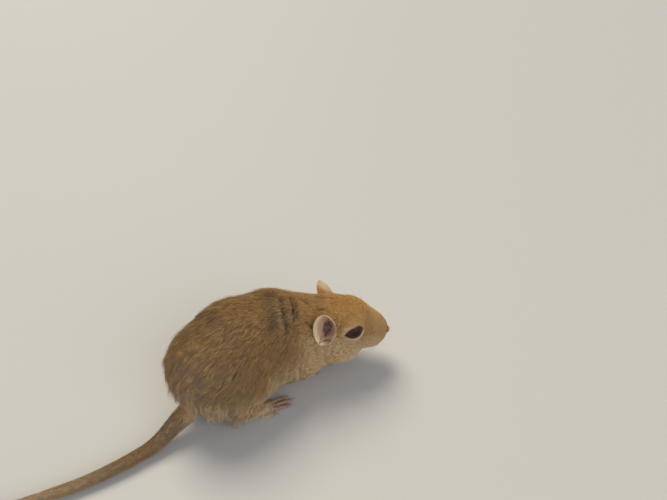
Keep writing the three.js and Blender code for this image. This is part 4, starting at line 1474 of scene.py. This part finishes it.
def ear_material():
    """Pale at the rim, mottled painted shade in the cup's hollow, a faint net of veins over all of it."""
    material, tree, shader = new_material("ear_skin")
    marks_in = add(tree, "ShaderNodeAttribute", {"attribute_name": "ear"}, {}, "Color")
    radius, inner, hollow = add(tree, "ShaderNodeSeparateColor", {}, {"Color": marks_in}).node.outputs
    at = add(tree, "ShaderNodeTexCoord", {}, {}, "Object")
    mottle = add(tree, "ShaderNodeTexNoise", {}, {"Vector": at, "Scale": GRAIN / EAR_BLOTCH, "Detail": 3.0})
    rim = add(tree, "ShaderNodeMapRange", {}, {"Value": radius, "From Min": 0.7, "From Max": 0.9})
    veined = add(tree, "ShaderNodeMapRange", {}, {"Value": mottle, "To Max": 0.3})
    patchy = add(tree, "ShaderNodeMapRange", {}, {"Value": mottle, "From Min": 0.3, "From Max": 0.7,
                                                  "To Min": 0.55, "To Max": 1.3})
    # Painted shade in the cup's hollow and crease, broken up by the mottle
    dark = add(tree, "ShaderNodeMath", {"operation": "MULTIPLY", "use_clamp": True}, {0: hollow, 1: patchy})
    inside = linear(EAR_SKIN)
    for share, over in ((rim, linear(EAR_RIM)), (dark, linear(EAR_HOLLOW_SHADE))):
        inside = add(tree, "ShaderNodeMix", COLOURS, {SHARE: share, FIRST: inside, SECOND: over}, MIXED)
    colour = linear(EAR_BACK)
    for share, over in ((rim, linear(EAR_RIM)), (inner, inside), (veined, linear(PINK_CREASE))):
        colour = add(tree, "ShaderNodeMix", COLOURS, {SHARE: share, FIRST: colour, SECOND: over}, MIXED)
    raised = add(tree, "ShaderNodeBump", {}, {"Height": mottle, "Distance": 0.12 * MM, "Strength": 1.0})
    set_inputs(shader, {"Base Color": colour, "Normal": raised})
    skin_shader(shader, 0.2)
    return material


def foot_material():
    """Pink, with fine creases across the toes."""
    material, tree, shader = new_material("foot_skin")
    at = add(tree, "ShaderNodeTexCoord", {}, {}, "Object")
    rings = add(tree, "ShaderNodeTexWave", {"bands_direction": "X"},
                {"Vector": at, "Scale": RINGS / TOE_CREASE, "Distortion": 2.5, "Detail": 2.0}, "Fac")
    grain = add(tree, "ShaderNodeTexNoise", {}, {"Vector": at, "Scale": GRAIN / TOE_GRAIN, "Detail": 3.0})
    crease = add(tree, "ShaderNodeMath", {"operation": "MULTIPLY"}, {0: rings, 1: grain})
    smooth = add(tree, "ShaderNodeMapRange", {}, {"Value": crease, "From Max": 0.35})
    colour = linear(PINK_CREASE)
    for share, over in ((crease, linear(PINK)), (smooth, linear(PINK))):
        colour = add(tree, "ShaderNodeMix", COLOURS, {SHARE: share, FIRST: colour, SECOND: over}, MIXED)
    raised = add(tree, "ShaderNodeBump", {}, {"Height": crease, "Distance": CREASE_DEPTH, "Strength": 1.0})
    set_inputs(shader, {"Base Color": colour, "Normal": raised})
    skin_shader(shader, 0.25)
    return material


def grained(name, colour, crease, grain_size):
    """A material of one colour with darker grains of that size, and the noise that makes them."""
    material, tree, shader = new_material(name)
    at = add(tree, "ShaderNodeTexCoord", {}, {}, "Object")
    grain = add(tree, "ShaderNodeTexNoise", {}, {"Vector": at, "Scale": GRAIN / grain_size, "Detail": 3.0})
    ends = {SHARE: grain, FIRST: linear(crease), SECOND: linear(colour)}
    set_inputs(shader, {"Base Color": add(tree, "ShaderNodeMix", COLOURS, ends, MIXED)})
    return material, tree, shader, grain


def plain_skin(name, colour, crease, grain_size):
    material, tree, shader, grain = grained(name, colour, crease, grain_size)
    raised = add(tree, "ShaderNodeBump", {}, {"Height": grain, "Distance": CREASE_DEPTH, "Strength": 1.0})
    set_inputs(shader, {"Normal": raised})
    skin_shader(shader, 0.2)
    return material


# %% [markdown]
# The eye under its tear film, the horn of the claws and the stiff clear hair of the whiskers.

# %% Eye, horn and whisker materials
EYE_RINGS = ((0.1, "#2c1914"), (0.2, "#452a21"), (0.42, "#573a2d"))  # share of a half turn from the middle
HORN, HORN_STREAK = "#b29b86", "#6f5a4a"
WHISKER, WHISKER_STREAK = "#d9cdb8", "#8c7d69"


def eye_material():
    """A dark pupil and a ruby iris under the tear film, which is kept dull because the photograph's is."""
    material, tree, shader = new_material("wet_eye")
    marks_in = add(tree, "ShaderNodeAttribute", {"attribute_name": "eye"}, {}, "Color")
    turn = add(tree, "ShaderNodeSeparateColor", {}, {"Color": marks_in}, "Red")
    colour = add(tree, "ShaderNodeValToRGB", {}, {"Fac": turn}, "Color")
    stops = colour.node.color_ramp.elements
    stops.new(0.5)
    for stop, (position, ring) in zip(stops, EYE_RINGS):
        stop.position = position
        stop.color = linear(ring)
    set_inputs(shader, {"Base Color": colour, "Roughness": 0.4, "IOR": 1.376, "Specular IOR Level": 0.12,
                        "Coat Weight": 0.1, "Coat Roughness": 0.2})
    return material


def keratin(name, colour, streak, streak_size, roughness, ior):
    material, tree, shader, grain = grained(name, colour, streak, streak_size)
    set_inputs(shader, {"Roughness": roughness, "IOR": ior})
    return material


FINISHES = [
    (ears, ear_material()),
    (feet, foot_material()),
    (lids, plain_skin("lid_margin", LID_MARGIN, LID_CREASE, 0.4 * MM)),
    ([nose], plain_skin("nose_skin", NOSE_PINK, NOSE_CREASE, 0.35 * MM)),
    ([mouth], plain_skin("lip_skin_and_slit_shade", LIP_AND_SLIT_SHADE, LIP_CREASE, 0.4 * MM)),
    (eyes, eye_material()),
    (claws, keratin("claw_horn", HORN, HORN_STREAK, 0.4 * MM, 0.3, 1.54)),
    (whiskers, keratin("whisker_keratin", WHISKER, WHISKER_STREAK, 3 * MM, 0.35, 1.55)),
]
for pieces, material in FINISHES:
    for piece in pieces:
        piece.data.materials.append(material)
print(len(FINISHES) + 2, "materials on the animal")

# %% [markdown]
# The stage is a plain pale board, which isn't part of the model, under a large soft light from behind the
# animal's left shoulder, as a window would give, and a weaker one from the camera's side. Both are suns
# with a wide angle, because a lamp that stands near would leave the far end of the board dark.

# %% Floor and light
FLOOR_GREY = "#b9b8b3"
WINDOW_WHITE = "#fff4e2"
ROOM_WHITE = "#f2f4ff"
ROOM_GREY = "#d8dadf"
floor_mesh = bmesh.new()
bmesh.ops.create_grid(floor_mesh, x_segments=1, y_segments=1, size=2)
floor = make_object("floor", mesh_from(floor_mesh, "floor"))
material, tree, shader = new_material("matt_pale_board")
set_inputs(shader, {"Base Color": linear(FLOOR_GREY), "Roughness": 0.7})
floor.data.materials.append(material)


def soft_light(name, source, width, strength, colour):
    """A sun that shines from the source's direction and looks as wide as the angle, in degrees."""
    light = bpy.data.lights.new(name, "SUN")
    light.angle = math.radians(width)
    light.energy = strength
    light.color = linear(colour)[:3]
    lamp = bpy.data.objects.new(name, light)
    lamp.rotation_euler = (-Vector(source)).to_track_quat("-Z", "Y").to_euler()
    bpy.context.scene.collection.objects.link(lamp)


soft_light("window", (0.1, 0.7, 1.0), 34, 2.6, WINDOW_WHITE)
soft_light("room", (0.1, -1.0, 0.45), 60, 1.7, ROOM_WHITE)
world = bpy.data.worlds.new("studio")
bpy.context.scene.world = world
world.use_nodes = True
set_inputs(world.node_tree.nodes["Background"], {"Color": linear(ROOM_GREY), "Strength": 0.5})
bpy.context.scene.view_settings.view_transform = "Standard"

# %% [markdown]
# Last, each piece is tied to the one body, root, and the solids that it stands for are hidden. The list also
# names a finish of the record for each piece.

# %% Tie the pieces to the frame
SKINNED = FLESH + ["tail_tip"]
PIECES = [(skin, "coat", SKINNED)] + [(piece, "coat", []) for piece in coat]
PIECES += [(ear, "bare_skin", [f"ear_{side}"]) for ear, side in zip(ears, EARS)]
PIECES += [(foot, "bare_skin", [name]) for foot, name in zip(feet, FEET)]
PIECES += [(eye, "eye", [f"eye_{side}"]) for eye, side in zip(eyes, EYES)]
PIECES += [(nose, "bare_skin", ["nose"]), (mouth, "bare_skin", [])]
PIECES += [(piece, "bare_skin", []) for piece in lids + claws + whiskers]
for piece, finish, solids in PIECES:
    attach(piece, "root")
    if solids:
        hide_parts(*solids)

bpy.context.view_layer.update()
triangles = sum(len(polygon.vertices) - 2 for piece, _, _ in PIECES for polygon in piece.data.polygons)
print(len(PIECES), "pieces,", triangles, "triangles")
